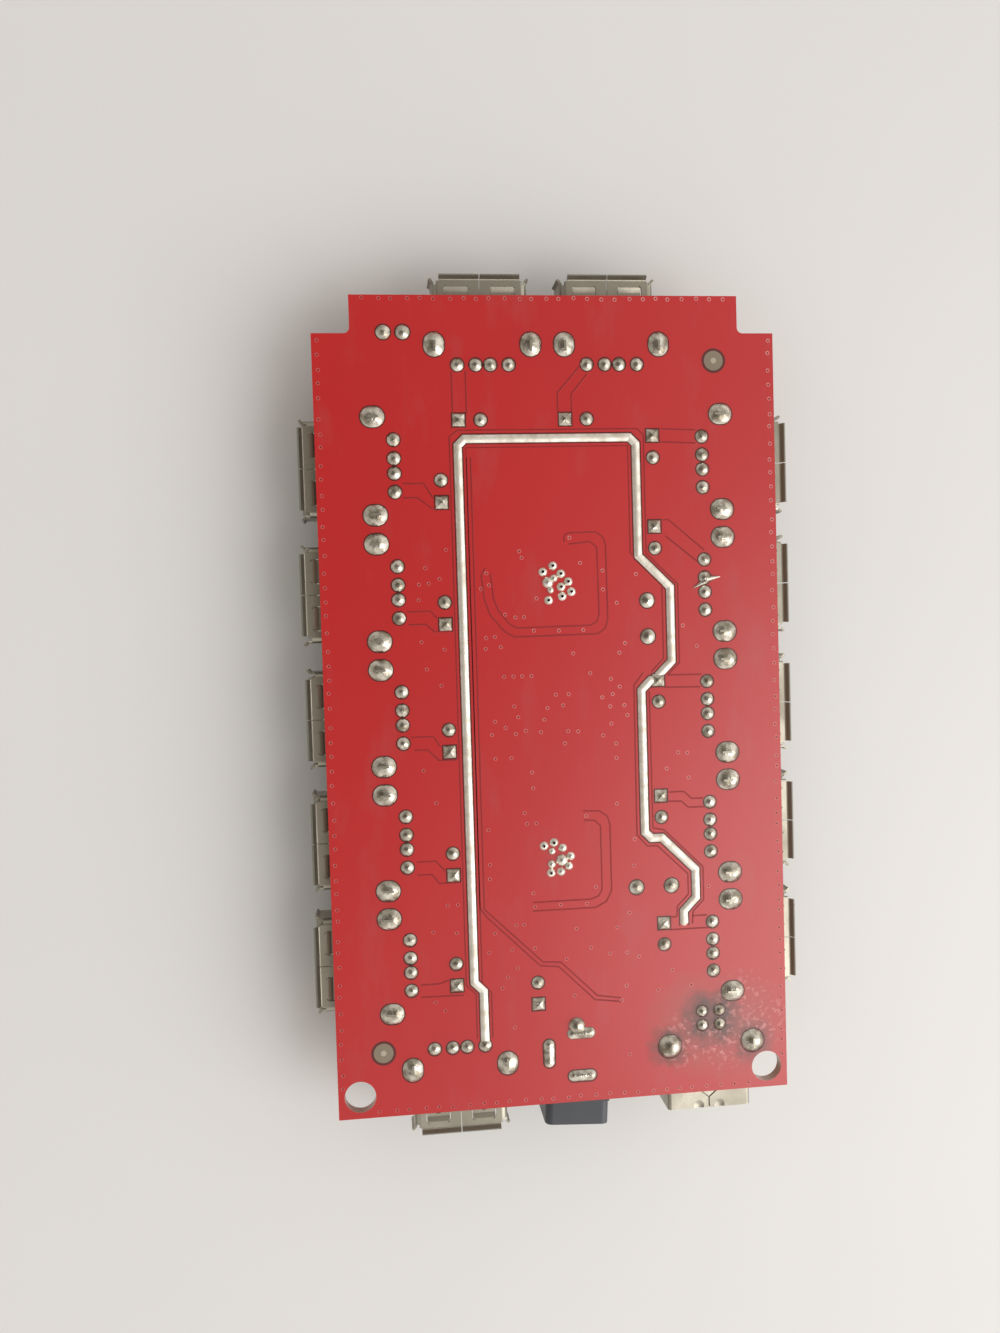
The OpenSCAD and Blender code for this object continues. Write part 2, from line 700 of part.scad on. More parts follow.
// Flat metal can with round ends, welded to its wider base
module crystal() {
    flange = 0.85;
    rim = 0.5;
    linear_extrude(0.45) rounded(crystal_l + flange, crystal_w + flange, 2.3);
    translate([0, 0, 0.4]) linear_extrude(2.9) rounded(crystal_l, crystal_w, 1.88);
    translate([0, 0, 3.2]) linear_extrude(crystal_h - 3.2)
        rounded(crystal_l - rim, crystal_w - rim, 1.6);
    leads(crystal_pitch, crystal_lead_d, 0.3);
}

led_pitch = 2.6;
// Small round lamp standing on its flange
module led() {
    stand = 1.0;
    lens_r = 1.5;
    lens_h = 3.8;
    translate([0, 0, stand]) {
        difference() {
            cylinder(h = 1.0, r = lens_r + 0.4);
            translate([lens_r, -3, -1]) cube([2, 6, 3]);
        }
        cylinder(h = lens_h, r = lens_r);
        translate([0, 0, lens_h]) sphere(lens_r);
    }
    leads(led_pitch, LEAD_D, stand + 0.2);
}

// ---- Hub chips and small parts ----

chip_w = 7.0;
chip_top = 1.5;
chip_stand = 0.1;
chip_part_line = 0.8;
chip_pitch = 0.5;
lead_t = 0.14;
// Body of a hub chip, stepped at the mould's parting line, with a dimple at lead one
module chip() {
    difference() {
        union() {
            translate([0, 0, chip_stand]) linear_extrude(chip_part_line - chip_stand)
                square(chip_w, center = true);
            translate([0, 0, chip_part_line]) linear_extrude(chip_top - chip_part_line)
                square(chip_w - 0.25, center = true);
        }
        translate([-2.6, -2.6, chip_top - 0.1]) cylinder(h = 1, r = 0.35);
    }
}

// Gull-wing leads on the four sides
module chip_leads() {
    side = chip_w / 2;
    line = [[side, chip_part_line], [side + 0.3, chip_part_line], [side + 0.45, 0.65],
        [side + 0.5, 0.2], [side + 0.65, lead_t / 2], [side + 1.1, lead_t / 2]];
    for (a = [0 : 90 : 270], i = [0 : 11]) rotate([0, 0, a])
        across_y((i - 5.5) * chip_pitch, 0.22) polygon(strip(line, lead_t));
}

// Length, width, height and end of the small parts
CHIP_CAP = [2.0, 1.25, 0.8, 0.45];
CHIP_RES = [1.6, 0.8, 0.45, 0.3];

// Rectangular chip part with raised ends
module chip_part(size) {
    l = size[0];
    w = size[1];
    h = size[2];
    end = size[3];
    step = 0.02;
    translate([end / 2 - l / 2, step - w / 2, step]) cube([l - end, w - 2 * step, h - 2 * step]);
    for (s = [-1, 1]) translate([s * (l - end) / 2 - end / 2, -w / 2, 0]) cube([end, w, h]);
}

// Small parts round each hub chip: offsets from its middle and the way they lie
CHIP_CAP_PLACES = [[6.3, 4.2, 0], [6.3, -3.6, 0], [-6.2, 4.4, 0], [-6.2, -4.0, 0],
    [-2.5, 6.4, 90]];
CHIP_RES_PLACES = [[6.3, 1.6, 0], [6.3, -0.8, 0], [-6.2, 0.2, 0], [2.4, 6.4, 90]];

module small_parts(places) {
    for (c = CHIPS, p = places) place([c[0] + p[0], c[1] + p[1], p[2]]) children();
}

// ---- Board ----

// Through cutters for every plated hole, in place
module board_holes() {
    for (p = PORTS) place(p) a_holes();
    place(B_PLACE) b_holes();
    place(JACK_PADS) translate([0, 0, -1]) {
        for (x = [-jack_slot_x, jack_slot_x]) translate([x, 0, -board_t]) rotate([0, 0, 90])
            slot_hole(0.55, 2.1, board_t + 2);
        translate([jack_side_x, jack_side_y, -board_t]) slot_hole(0.55, 2.1, board_t + 2);
    }
    for (p = CANS) place(p) lead_holes(can_pitch);
    for (p = CRYSTALS) place(p) lead_holes(crystal_pitch);
    place(LED_PLACE) lead_holes(led_pitch);
    for (i = [0, 1], v = VIAS[i]) via_at(i, v) translate([0, 0, -board_t - 1])
        cylinder(h = 3, r = via_r);
}

module pcb() {
    color("firebrick") difference() {
        translate([-mid_x, -mid_y, stand_h]) linear_extrude(board_t) difference() {
            square([board_w, board_l], center = true);
            for (s = [-1, 1]) translate([s * board_w / 2, board_l / 2]) {
                square([2 * notch - 2 * notch_r, 2 * notch], center = true);
                square([2 * notch, 2 * notch - 2 * notch_r], center = true);
                translate([-s * (notch - notch_r), notch_r - notch]) circle(notch_r);
            }
        }
        for (s = [-1, 1]) translate([s * (board_w / 2 - mount_inset) - mid_x,
                mount_inset - board_l / 2 - mid_y, stand_h - 1])
            cylinder(h = board_t + 2, r = mount_d / 2);
        board_holes();
    }
}

// ---- Tinned track and thermal vias ----

track_start = [near_x + A_PIN_Y[3], near_y + pin_back];
left_run = left_can_x + 2.4;
right_run = right_can_x - 2.4;
outer_run = right_can_x + 2.0;
cross_y = ROW_Y[0] + 3.5;
jog_y = ROW_Y[4] - 4.2;
pad_y = RIGHT_CANS[2][1] + can_pitch / 2;
corner = 0.9;
TRACK = [
    track_start,
    [track_start[0], jog_y],
    [left_run, jog_y + track_start[0] - left_run],
    [left_run, cross_y - corner],
    [left_run + corner, cross_y],
    [right_run - corner, cross_y],
    [right_run, cross_y - corner],
    [right_run, ROW_Y[1] + 4.2],
    [outer_run, ROW_Y[1] + 4.2 - outer_run + right_run],
    [outer_run, pad_y + 2.6],
    [right_can_x, pad_y + 0.6],
    [right_can_x, pad_y],
    [right_run + 1.3, pad_y],
    [right_run, pad_y - 1.3],
    [right_run, ROW_Y[3] - 0.3],
    [right_run + corner, ROW_Y[3] - 0.3 - corner],
    [right_can_x, ROW_Y[3] - 0.3 - corner],
    [outer_run + 2.7, ROW_Y[3] - 5.9],
    [outer_run + 2.7, ROW_Y[3] - 9.9],
    [outer_run + 0.9, ROW_Y[3] - 11.7],
    [outer_run + 0.9, ROW_Y[3] - 13.3]];

// Solder that froze along the bare track
module tinned_track() {
    pad = 2 * (pin_pad_r + fit);
    color("lightgray") translate([-mid_x, -mid_y, stand_h + board_t]) linear_extrude(track_h)
    difference() {
        union() {
            for (p = TRACK) translate(p) circle(track_w / 2);
            for (i = [0 : len(TRACK) - 2]) {
                run = TRACK[i + 1] - TRACK[i];
                translate(TRACK[i]) rotate(atan2(run[1], run[0]))
                    translate([0, -track_w / 2]) square([norm(run), track_w]);
            }
        }
        translate(track_start) circle(pin_pad_r + fit);
        translate([right_can_x, pad_y]) square(pad, center = true);
    }
}

via_r = 0.2;
// Bare vias under each hub chip: offsets from its middle, then the radius and height of solder
VIAS = [
    [[-0.5, 2.2], [-1.9, 1.4], [0.6, 1.1], [1.6, 0], [0.6, -0.7], [2.0, -1.4], [0.7, -2.0],
    [-1.2, -2.5]],
    [[-2.2, 1.8], [-0.8, 2.2], [-1.3, -2.0]]];
BLOBS = [
    [[-1.25, -0.05, 0.8, 0.5], [-0.4, 0.5, 0.55, 0.35], [-0.9, -1.1, 0.5, 0.4]],
    [[0.25, -0.3, 0.85, 0.6], [1.5, 0.2, 0.6, 0.35], [1.2, -1.15, 0.6, 0.4], [0.4, 1.4, 0.6, 0.35],
    [-1.1, 1.0, 0.5, 0.35], [-1.2, -0.8, 0.6, 0.4], [0.1, -1.9, 0.6, 0.35]]];

module via_at(i, v) {
    place([CHIPS[i][0] + v[0], CHIPS[i][1] + v[1], 0]) children();
}

module thermal_vias() {
    color("gainsboro") {
        for (i = [0, 1]) {
            for (v = VIAS[i]) via_at(i, v) difference() {
                dome(0.62, 0.35);
                translate([0, 0, -board_t - 2]) cylinder(h = 3, r = via_r);
            }
            for (b = BLOBS[i]) via_at(i, b) dome(b[2], b[3]);
        }
    }
}

module solder_joints() {
    color("silver") {
        for (i = [0 : len(PORTS) - 1]) place(PORTS[i]) a_joints(SLIDES[i]);
        place(B_PLACE) b_joints();
        difference() {
            place(JACK_PADS) jack_joints();
            place(JACK_PLACE) {
                centre_pin();
                sleeve_spring();
                switch_spring();
            }
        }
        for (p = CANS) place(p) lead_joints(can_pitch, LEAD_D, pin_pad_r, true);
        for (p = CRYSTALS) place(p) lead_joints(crystal_pitch, crystal_lead_d, 1.05, false);
        place(LED_PLACE) lead_joints(led_pitch, LEAD_D, 1.0, false);
    }
}

// ---- Sub-parts ----

module usb_a_shell(i) { color("tan") place(SEATS[i]) a_shell(); }
module usb_a_insulator(i) { color("ivory") place(SEATS[i]) a_insulator(); }
module usb_a_contacts(i) { color("gold") place(SEATS[i]) a_contacts(); }
module usb_b_shell() { color("tan") place(B_PLACE) b_shell(); }
module usb_b_insulator() { color("ivory") place(B_PLACE) b_insulator(); }
module usb_b_contacts() { color("gold") place(B_PLACE) b_contacts(); }
module jack_housing() { color("dimgray") place(JACK_PLACE) housing(); }
module jack_centre_pin() { color("silver") place(JACK_PLACE) centre_pin(); }
module jack_sleeve_spring() { color("silver") place(JACK_PLACE) sleeve_spring(); }
module jack_switch_spring() { color("silver") place(JACK_PLACE) switch_spring(); }
module capacitors(places) { color("darkslategray") for (p = places) place(p) capacitor(); }
module hub_chips() { color("black") for (c = CHIPS) place(c) chip(); }
module hub_chip_leads() { color("silver") for (c = CHIPS) place(c) chip_leads(); }
module crystals() { color("silver") for (p = CRYSTALS) place(p) crystal(); }
module power_led() { color("red") place(LED_PLACE) led(); }
module chip_capacitors() { color("tan") small_parts(CHIP_CAP_PLACES) chip_part(CHIP_CAP); }
module chip_resistors() { color("black") small_parts(CHIP_RES_PLACES) chip_part(CHIP_RES); }

// ---- Drawing ----

pcb();
tinned_track();
solder_joints();
thermal_vias();
for (i = [0 : len(PORTS) - 1]) {
    usb_a_shell(i);
    usb_a_insulator(i);
    usb_a_contacts(i);
}
usb_b_shell();
usb_b_insulator();
usb_b_contacts();
jack_housing();
jack_centre_pin();
jack_sleeve_spring();
jack_switch_spring();
capacitors(LEFT_CANS);  // capacitors_left
capacitors(RIGHT_CANS);  // capacitors_right
capacitors(FAR_CANS);  // capacitors_far
capacitors(NEAR_CANS);  // capacitor_near
hub_chips();
hub_chip_leads();
crystals();
power_led();
chip_capacitors();
chip_resistors();
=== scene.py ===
# %% [markdown]
# A populated circuit board lies on its components with the solder side up. The exact model gives
# every real shape: the board with its holes, the sockets, the jack, the capacitors and each
# solder joint. This lesson dresses it: it adds what is thinner than paper, such as the relief of
# the copper under the varnish, and makes a material for every surface. The exact model comes in
# first and never moves, so its box is written down before anything is added.

# %% Load the exact model
import bpy
import json
import math
import random
from mathutils import Matrix, Vector

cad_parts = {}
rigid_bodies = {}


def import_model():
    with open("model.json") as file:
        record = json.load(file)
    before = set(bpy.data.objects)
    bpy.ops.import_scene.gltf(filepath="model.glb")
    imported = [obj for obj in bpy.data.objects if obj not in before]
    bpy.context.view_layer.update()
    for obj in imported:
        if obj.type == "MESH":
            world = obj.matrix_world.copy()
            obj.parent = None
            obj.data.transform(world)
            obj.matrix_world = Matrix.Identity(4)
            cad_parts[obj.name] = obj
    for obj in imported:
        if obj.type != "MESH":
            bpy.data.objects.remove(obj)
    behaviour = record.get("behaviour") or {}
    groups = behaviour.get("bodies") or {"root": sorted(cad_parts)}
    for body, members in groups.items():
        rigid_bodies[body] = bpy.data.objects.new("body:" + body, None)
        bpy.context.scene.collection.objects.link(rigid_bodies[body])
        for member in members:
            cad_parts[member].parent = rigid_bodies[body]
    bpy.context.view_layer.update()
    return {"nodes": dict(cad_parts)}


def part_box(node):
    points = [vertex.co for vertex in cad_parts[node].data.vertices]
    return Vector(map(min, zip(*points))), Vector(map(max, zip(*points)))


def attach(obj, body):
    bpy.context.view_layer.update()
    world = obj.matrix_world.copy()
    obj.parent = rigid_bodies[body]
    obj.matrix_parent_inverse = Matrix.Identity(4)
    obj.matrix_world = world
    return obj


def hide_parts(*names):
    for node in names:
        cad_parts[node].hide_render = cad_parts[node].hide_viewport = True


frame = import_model()
print("exact nodes:", len(frame["nodes"]))

# %% [markdown]
# Circuit boards are drawn in millimetres from the middle of the board, seen from the side that is
# being worked on. Blender works in metres. One small function turns such a place into Blender's,
# with the height counted from the varnished face, so that every number below can be checked with
# a ruler on the real thing.

# %% Board coordinates
board_low, board_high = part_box("pcb")
BOARD_MIDDLE = (board_low + board_high) / 2
BOARD_T = 1.6


def at(x, y, rise=0.0):
    """A place on the board in millimetres: x across, y along, rise above the varnish."""
    return Vector((BOARD_MIDDLE.x + x / 1000, BOARD_MIDDLE.y + y / 1000,
                   board_high.z + rise / 1000))


print("board size in mm:", [round(v * 1000, 2) for v in board_high - board_low])

# %% [markdown]
# A telephone held in the hand took in the whole board from about 14 cm, slightly to the left of
# its middle. So near, the walls of the sockets on the far sides show in perspective. The camera
# is set by its place and its three axes, with the lens given for a 36 mm sensor on the long side.

# %% Camera
RIGHT = Vector((0.99341, -0.02999, 0.11066))
UP = Vector((0.03404, 0.99881, -0.03492))
BACK = Vector((-0.10948, 0.03846, 0.99324))
CAMERA_PLACE = (-23.62, 11.10, 143.62)

bpy.ops.object.camera_add()
camera = bpy.context.object
camera.matrix_world = Matrix.Translation(at(*CAMERA_PLACE)) @ Matrix(
    (RIGHT, UP, BACK)).transposed().to_4x4()
camera.data.sensor_width = 36
camera.data.lens = 28.54
camera.data.clip_start = 0.005
bpy.context.scene.camera = camera
bpy.context.scene.view_settings.view_transform = "Standard"
print("camera height above the varnish in mm:", round(CAMERA_PLACE[2]))

# %% [markdown]
# Colours are picked as the hexadecimal values that any paint program shows. Shaders count light,
# so the value goes through the sRGB curve first. One more function adds a node: settings go in
# by name, and each socket gets either a value or a link from another node. Mixing two colours is
# wanted so often that it has a function too.

# %% Colour and node helpers


def paint(code, alpha=1.0):
    """A hexadecimal colour such as B2282B as linear light."""
    parts = [int(code[i:i + 2], 16) / 255 for i in (0, 2, 4)]
    return [p / 12.92 if p <= 0.04045 else ((p + 0.055) / 1.055) ** 2.4 for p in parts] + [alpha]


def node(tree, kind, sockets=None, **settings):
    """Adds a node; a socket's value is a number, a colour or another node's output."""
    made = tree.nodes.new(kind)
    for name, value in settings.items():
        setattr(made, name, value)
    for key, value in (sockets or {}).items():
        if isinstance(value, bpy.types.NodeSocket):
            tree.links.new(value, made.inputs[key])
        else:
            made.inputs[key].default_value = value
    return made


def blend(tree, amount, under, over):
    """Mixes one colour over another."""
    return node(tree, "ShaderNodeMix", {0: amount, 6: under, 7: over}, data_type="RGBA").outputs[2]


def per_mm(size):
    """Texture scale for a pattern whose grains are size millimetres."""
    return 1000 / size


def material(name, **sockets):
    """A new material and its tree and main shader, with plain values set on the shader."""
    made = bpy.data.materials.new(name)
    made.use_nodes = True
    shader = made.node_tree.nodes["Principled BSDF"]
    for key, value in sockets.items():
        shader.inputs[key.replace("_", " ")].default_value = value
    return made, made.node_tree, shader


print("paint check:", [round(v, 3) for v in paint("808080")[:3]])

# %% [markdown]
# The board lies on a pale painted table. A plane is enough for the floor, with a faint mottle in
# its paint.

# %% Table
JUST_BELOW = -0.00002
bpy.ops.mesh.primitive_plane_add(size=4, location=(0, 0, JUST_BELOW))
table = bpy.context.object
table.name = "table"
painted, tree, shader = material("painted_table", Roughness=0.55)
place = node(tree, "ShaderNodeTexCoord").outputs["Object"]
mottle = node(tree, "ShaderNodeTexNoise", {"Vector": place, "Scale": per_mm(60), "Detail": 2.0})
tone = blend(tree, mottle.outputs[0], paint("DFDDDB"), paint("E4E2E0"))
tree.links.new(tone, shader.inputs["Base Color"])
table.data.materials.append(painted)
print("table made")

# %% [markdown]
# Two lights are enough. A wide window stands on the right, a little towards the near end: it puts
# the haze on the right half of the varnish and the soft shadow on the left. The room fills the
# rest. It is dark overhead and to the left, where the person and the telephone are, and bright
# low down on the right: round solder mirrors all of it, so each joint gets a dark heart and a
# bright rim on its lower right.

# %% Light
bpy.ops.object.light_add(type="AREA", location=(0.36, -0.20, 0.42))
window = bpy.context.object
window.data.shape = "RECTANGLE"
window.data.size, window.data.size_y = 0.40, 0.55
window.data.energy = 1.58
window.data.color = (1.0, 0.99, 0.98)
window.rotation_mode = "QUATERNION"
window.rotation_quaternion = window.location.to_track_quat("Z", "Y")

room = bpy.data.worlds.new("room")
bpy.context.scene.world = room
room.use_nodes = True
tree = room.node_tree
tree.nodes.clear()
direction = node(tree, "ShaderNodeTexCoord").outputs["Generated"]
across = node(tree, "ShaderNodeVectorMath", {0: direction, 1: (0.90, -0.44, 0.0)},
              operation="DOT_PRODUCT")
sides = node(tree, "ShaderNodeMapRange", {"Value": across.outputs["Value"], "From Min": -0.5,
             "From Max": 0.8})
walls = blend(tree, sides.outputs[0], paint("B6B3AE"), paint("FFFDFA"))
lean = node(tree, "ShaderNodeVectorMath", {0: direction, 1: (-0.20, 0.10, 0.975)},
            operation="DOT_PRODUCT")
overhead = node(tree, "ShaderNodeMapRange", {"Value": lean.outputs["Value"], "From Min": 0.72,
                "From Max": 0.97})
sky = blend(tree, overhead.outputs[0], walls, paint("6A655E"))
glow = node(tree, "ShaderNodeBackground", {"Color": sky, "Strength": 1.31})
node(tree, "ShaderNodeOutputWorld", {"Surface": glow.outputs[0]})
print("window and room made")

# %% [markdown]
# The board is glass-fibre laminate under red solder mask, a varnish that is exposed, developed
# and baked. Over copper it dries to an even red, a little mottled, with a fine orange peel in
# its gloss, and handling leaves faint grey smears on it. The sawn edges show the laminate. Round
# the type B socket, hand soldering left flux: burnt brown close to each joint, with a ragged edge,
# and dried to pale flakes further out.

# %% Solder mask
mask, tree, shader = material("solder_mask_on_laminate", Roughness=0.31)
shader.inputs["Coat Weight"].default_value = 0.5
shader.inputs["Coat Roughness"].default_value = 0.3
place = node(tree, "ShaderNodeTexCoord").outputs["Object"]


def spots(tree, place, centres, near, far, most):
    """Falls from most to nothing between near and far mm from the closest of some points."""
    closest = None
    for centre in centres:
        away = node(tree, "ShaderNodeVectorMath", {0: place, 1: at(*centre)},
                    operation="DISTANCE").outputs["Value"]
        closest = away if closest is None else node(
            tree, "ShaderNodeMath", {0: closest, 1: away}, operation="MINIMUM").outputs[0]
    return node(tree, "ShaderNodeMapRange", {"Value": closest, "From Min": near / 1000,
                "From Max": far / 1000, "To Min": most, "To Max": 0.0}).outputs[0]


def times(tree, a, b):
    """Multiplies two values."""
    return node(tree, "ShaderNodeMath", {0: a, 1: b}, operation="MULTIPLY").outputs[0]


def cut(tree, value, low, high):
    """Stretches the part of a noise between low and high to the full range."""
    return node(tree, "ShaderNodeMapRange", {"Value": value, "From Min": low,
                "From Max": high}).outputs[0]


cloud = node(tree, "ShaderNodeTexNoise", {"Vector": place, "Scale": per_mm(22), "Detail": 3.0})
red = blend(tree, cloud.outputs[0], paint("B61A1C"), paint("BE1E1F"))
# faint grey smears, longer along the board than across it
drawn = node(tree, "ShaderNodeMapping", {"Vector": place, "Scale": (1.0, 0.35, 1.0)})
wipe = node(tree, "ShaderNodeTexNoise", {"Vector": drawn.outputs[0], "Scale": per_mm(6),
            "Detail": 5.0, "Roughness": 0.6})
smear = times(tree, cut(tree, wipe.outputs[0], 0.55, 0.8), 0.28)
red = blend(tree, smear, red, paint("A85F5E"))
# burnt flux close to the type B socket's joints, its edge moved up to 2 mm by a noise
ragged = node(tree, "ShaderNodeTexNoise", {"Vector": place, "Scale": per_mm(1.6), "Detail": 5.0,
              "Roughness": 0.65})
wander = node(tree, "ShaderNodeVectorMath", {0: ragged.outputs["Color"], 1: (0.5, 0.5, 0.5)},
              operation="SUBTRACT")
shifted = node(tree, "ShaderNodeVectorMath", {0: wander.outputs[0], "Scale": 0.004},
               operation="SCALE")
moved = node(tree, "ShaderNodeVectorMath", {0: place, 1: shifted.outputs[0]}).outputs[0]
B_TABS = [(14.7, -48.9), (26.8, -48.9)]
B_PINS = [(19.6, -44.2), (22.1, -44.2), (19.6, -46.2), (22.1, -46.2)]
burnt = spots(tree, moved, B_TABS + B_PINS, 0.9, 3.5, 0.95)
haze = spots(tree, moved, [(19.0, -46.0), (24.5, -46.5)], 1.0, 8.5, 0.6)
red = blend(tree, haze, red, paint("94564F"))
red = blend(tree, burnt, red, paint("4E3228"))
# pale flakes of dried flux
specks = node(tree, "ShaderNodeTexNoise", {"Vector": place, "Scale": per_mm(0.7), "Detail": 4.0,
              "Distortion": 0.3})
flaked = times(tree, cut(tree, specks.outputs[0], 0.54, 0.64),
               spots(tree, moved, [(28.2, -46.0), (22.0, -48.8), (25.6, -43.0), (17.0, -48.5)],
                     1.2, 5.0, 0.6))
red = blend(tree, flaked, red, paint("D98A84"))
# laminate shows where the face isn't level
level = node(tree, "ShaderNodeSeparateXYZ", {0: node(tree, "ShaderNodeNewGeometry").outputs["Normal"]})
upright = node(tree, "ShaderNodeMath", {0: level.outputs["Z"]}, operation="ABSOLUTE")
sawn = node(tree, "ShaderNodeMath", {0: upright.outputs[0], 1: 0.5}, operation="LESS_THAN")
fibre = node(tree, "ShaderNodeTexNoise", {"Vector": place, "Scale": per_mm(0.4), "Detail": 3.0})
core = blend(tree, fibre.outputs[0], paint("A67566"), paint("C09482"))
skin = blend(tree, sawn.outputs[0], red, core)
tree.links.new(skin, shader.inputs["Base Color"])
# orange peel of 0.6 mm, and the rough skin of the flux
peel = node(tree, "ShaderNodeTexNoise", {"Vector": place, "Scale": per_mm(0.6), "Detail": 1.0})
relief = node(tree, "ShaderNodeMath", {0: times(tree, burnt, ragged.outputs[0]), 1: 8.0,
              2: peel.outputs[0]}, operation="MULTIPLY_ADD")
bump = node(tree, "ShaderNodeBump", {"Height": relief.outputs[0], "Strength": 0.25,
            "Distance": 0.00002})
tree.links.new(bump.outputs[0], shader.inputs["Normal"])
print("solder mask made")

# %% [markdown]
# Solder is tin alloy that froze from a melt: bright where it cooled still, greyer and faintly
# crinkled where it was disturbed. Joints were made one after another, so the crinkle and the
# tarnish change every few millimetres. The tinned track was dragged through the solder wave and
# kept long ripples, which scatter more light and look creamier.

# %% Solder
# a joint's foot is painted this dark brown: partly flux, partly painted shade where the solder meets
# the board
FLUX_AND_SHADE_BROWN = "3A2A1E"
# a lip's normal rises this much, give or take the slack
LIP_LEAN, LIP_SLACK = 0.6, 0.2


def metal(name, light, dark, patch, smooth, rough, wrinkle, depth, clean=1.0, foot=None,
          fold=None):
    """Metal whose tone and roughness change over patches of patch mm, with wrinkles; up to foot mm
    above the varnish it is darkened, partly by flux and partly by painted contact shade, and where the
    sheet leans it takes fold's colour, painted shade for the dark it mirrors."""
    made, tree, shader = material(name, Metallic=clean)
    place = node(tree, "ShaderNodeTexCoord").outputs["Object"]
    patches = node(tree, "ShaderNodeTexNoise", {"Vector": place, "Scale": per_mm(patch),
                   "Detail": 3.0})
    patchy = node(tree, "ShaderNodeMapRange", {"Value": patches.outputs[0], "From Min": 0.35,
                  "From Max": 0.65})
    colour = blend(tree, patchy.outputs[0], paint(dark), paint(light))
    gloss = node(tree, "ShaderNodeMapRange", {"Value": patchy.outputs[0], "To Min": rough,
                 "To Max": smooth})
    grain = node(tree, "ShaderNodeTexNoise", {"Vector": place, "Scale": per_mm(wrinkle),
                 "Detail": 2.0})
    bump = node(tree, "ShaderNodeBump", {"Height": grain.outputs[0], "Strength": 0.5,
                "Distance": depth / 1000})
    if foot:
        # the dark foot is partly flux and partly painted contact shade
        height = node(tree, "ShaderNodeSeparateXYZ", {0: place}).outputs["Z"]
        low = node(tree, "ShaderNodeMapRange", {"Value": height, "From Min": board_high.z,
                   "From Max": board_high.z + foot / 1000, "To Min": 0.85, "To Max": 0.0})
        colour = blend(tree, low.outputs[0], colour, paint(FLUX_AND_SHADE_BROWN))
    # faces that lean as the lips do are painted darker: painted shade for the dark they mirror, not a
    # change in the plating
    if fold:
        facing = node(tree, "ShaderNodeSeparateXYZ", {
            0: node(tree, "ShaderNodeNewGeometry").outputs["Normal"]}).outputs["Z"]
        leans = node(tree, "ShaderNodeMath", {0: facing, 1: LIP_LEAN, 2: LIP_SLACK},
                     operation="COMPARE")
        colour = blend(tree, leans.outputs[0], colour, paint(fold))
    tree.links.new(colour, shader.inputs["Base Color"])
    tree.links.new(gloss.outputs[0], shader.inputs["Roughness"])
    tree.links.new(bump.outputs[0], shader.inputs["Normal"])
    return made


joint_solder = metal("solder_frozen_joint", "DAD3C6", "8C8373", 1.3, 0.12, 0.32, 0.45, 0.14,
                     foot=0.08)
track_solder = metal("solder_wave_track", "F7F1E6", "D6CEC0", 1.4, 0.42, 0.58, 0.6, 0.04)
via_solder = metal("solder_tinned_via", "F2ECE0", "C9C3B6", 1.0, 0.2, 0.35, 0.4, 0.03)
print("solder made")

# %% [markdown]
# The shells are steel sheet, stamped, folded and plated with nickel, which is warmer than tin.
# Handling left it dull in patches. Faces that lean as the lips do are painted darker, painted shade
# for the dark that they mirror. The contacts are bronze with a tin or gold flash. The crystal cans are
# drawn from
# nickel silver.

# %% Plated sheet
# fold is the lips' colour, painted shade for the dark they mirror
nickel = metal("nickel_plated_steel", "B0AA9B", "9A9485", 5.0, 0.26, 0.42, 0.35, 0.008, 0.75,
               fold="8A887C")
tinned = metal("tin_plated_bronze", "D9D6CF", "BFBBB2", 3.0, 0.25, 0.4, 0.4, 0.005)
flashed = metal("gold_flash_contact", "E2BE72", "C9A45C", 2.0, 0.2, 0.35, 0.3, 0.005)
drawn_can = metal("nickel_silver_can", "D8D5CC", "C2BEB4", 4.0, 0.2, 0.32, 0.4, 0.006)
print("plated sheet made")

# %% [markdown]
# The plastics are all moulded, so they differ mostly in colour and in the texture of the tool:
# white polyester in the sockets, slate polyester in the jack, black epoxy with a fine sand
# texture on the chips, and a clear red lens.

# %% Plastics


def moulded(name, colour, other, rough, grain, depth, **more):
    """Moulded plastic: two close tones in soft patches and a fine tool texture of grain mm."""
    made, tree, shader = material(name, Roughness=rough, **more)
    place = node(tree, "ShaderNodeTexCoord").outputs["Object"]
    patches = node(tree, "ShaderNodeTexNoise", {"Vector": place, "Scale": per_mm(5), "Detail": 2.0})
    tone = blend(tree, patches.outputs[0], paint(colour), paint(other))
    texture = node(tree, "ShaderNodeTexNoise", {"Vector": place, "Scale": per_mm(grain)})
    bump = node(tree, "ShaderNodeBump", {"Height": texture.outputs[0], "Strength": 0.4,
                "Distance": depth / 1000})
    tree.links.new(tone, shader.inputs["Base Color"])
    tree.links.new(bump.outputs[0], shader.inputs["Normal"])
    return made


white_plastic = moulded("white_polyester", "ECE7DC", "E2DDD2", 0.45, 0.3, 0.004)
jack_plastic = moulded("slate_polyester", "484B51", "3F4248", 0.42, 0.25, 0.006)
chip_epoxy = moulded("black_epoxy", "1C1C1E", "232325", 0.55, 0.15, 0.006)
lens = moulded("red_clear_epoxy", "B01418", "C41A1E", 0.12, 0.5, 0.001)
ceramic = moulded("fired_ceramic", "A98A66", "9C7D5A", 0.5, 0.2, 0.004)
print("plastics made")

# %% [markdown]
# A capacitor is an aluminium can in a shrunk sleeve, with a pale stripe down the side of the
# negative lead. The sleeve is folded over the rim, and the scored top shows inside the fold, so
# one finish covers it all: the top is metal where the face looks down from inside the fold, and
# the stripe is where the side faces the negative lead.

# %% Capacitor sleeve and can
STRIPE_EDGE = 0.93
FACES_DOWN = -0.7
# the bare top lies between these heights above the table, in metres
TOP_FROM, TOP_TO = 0.00014, 0.0004


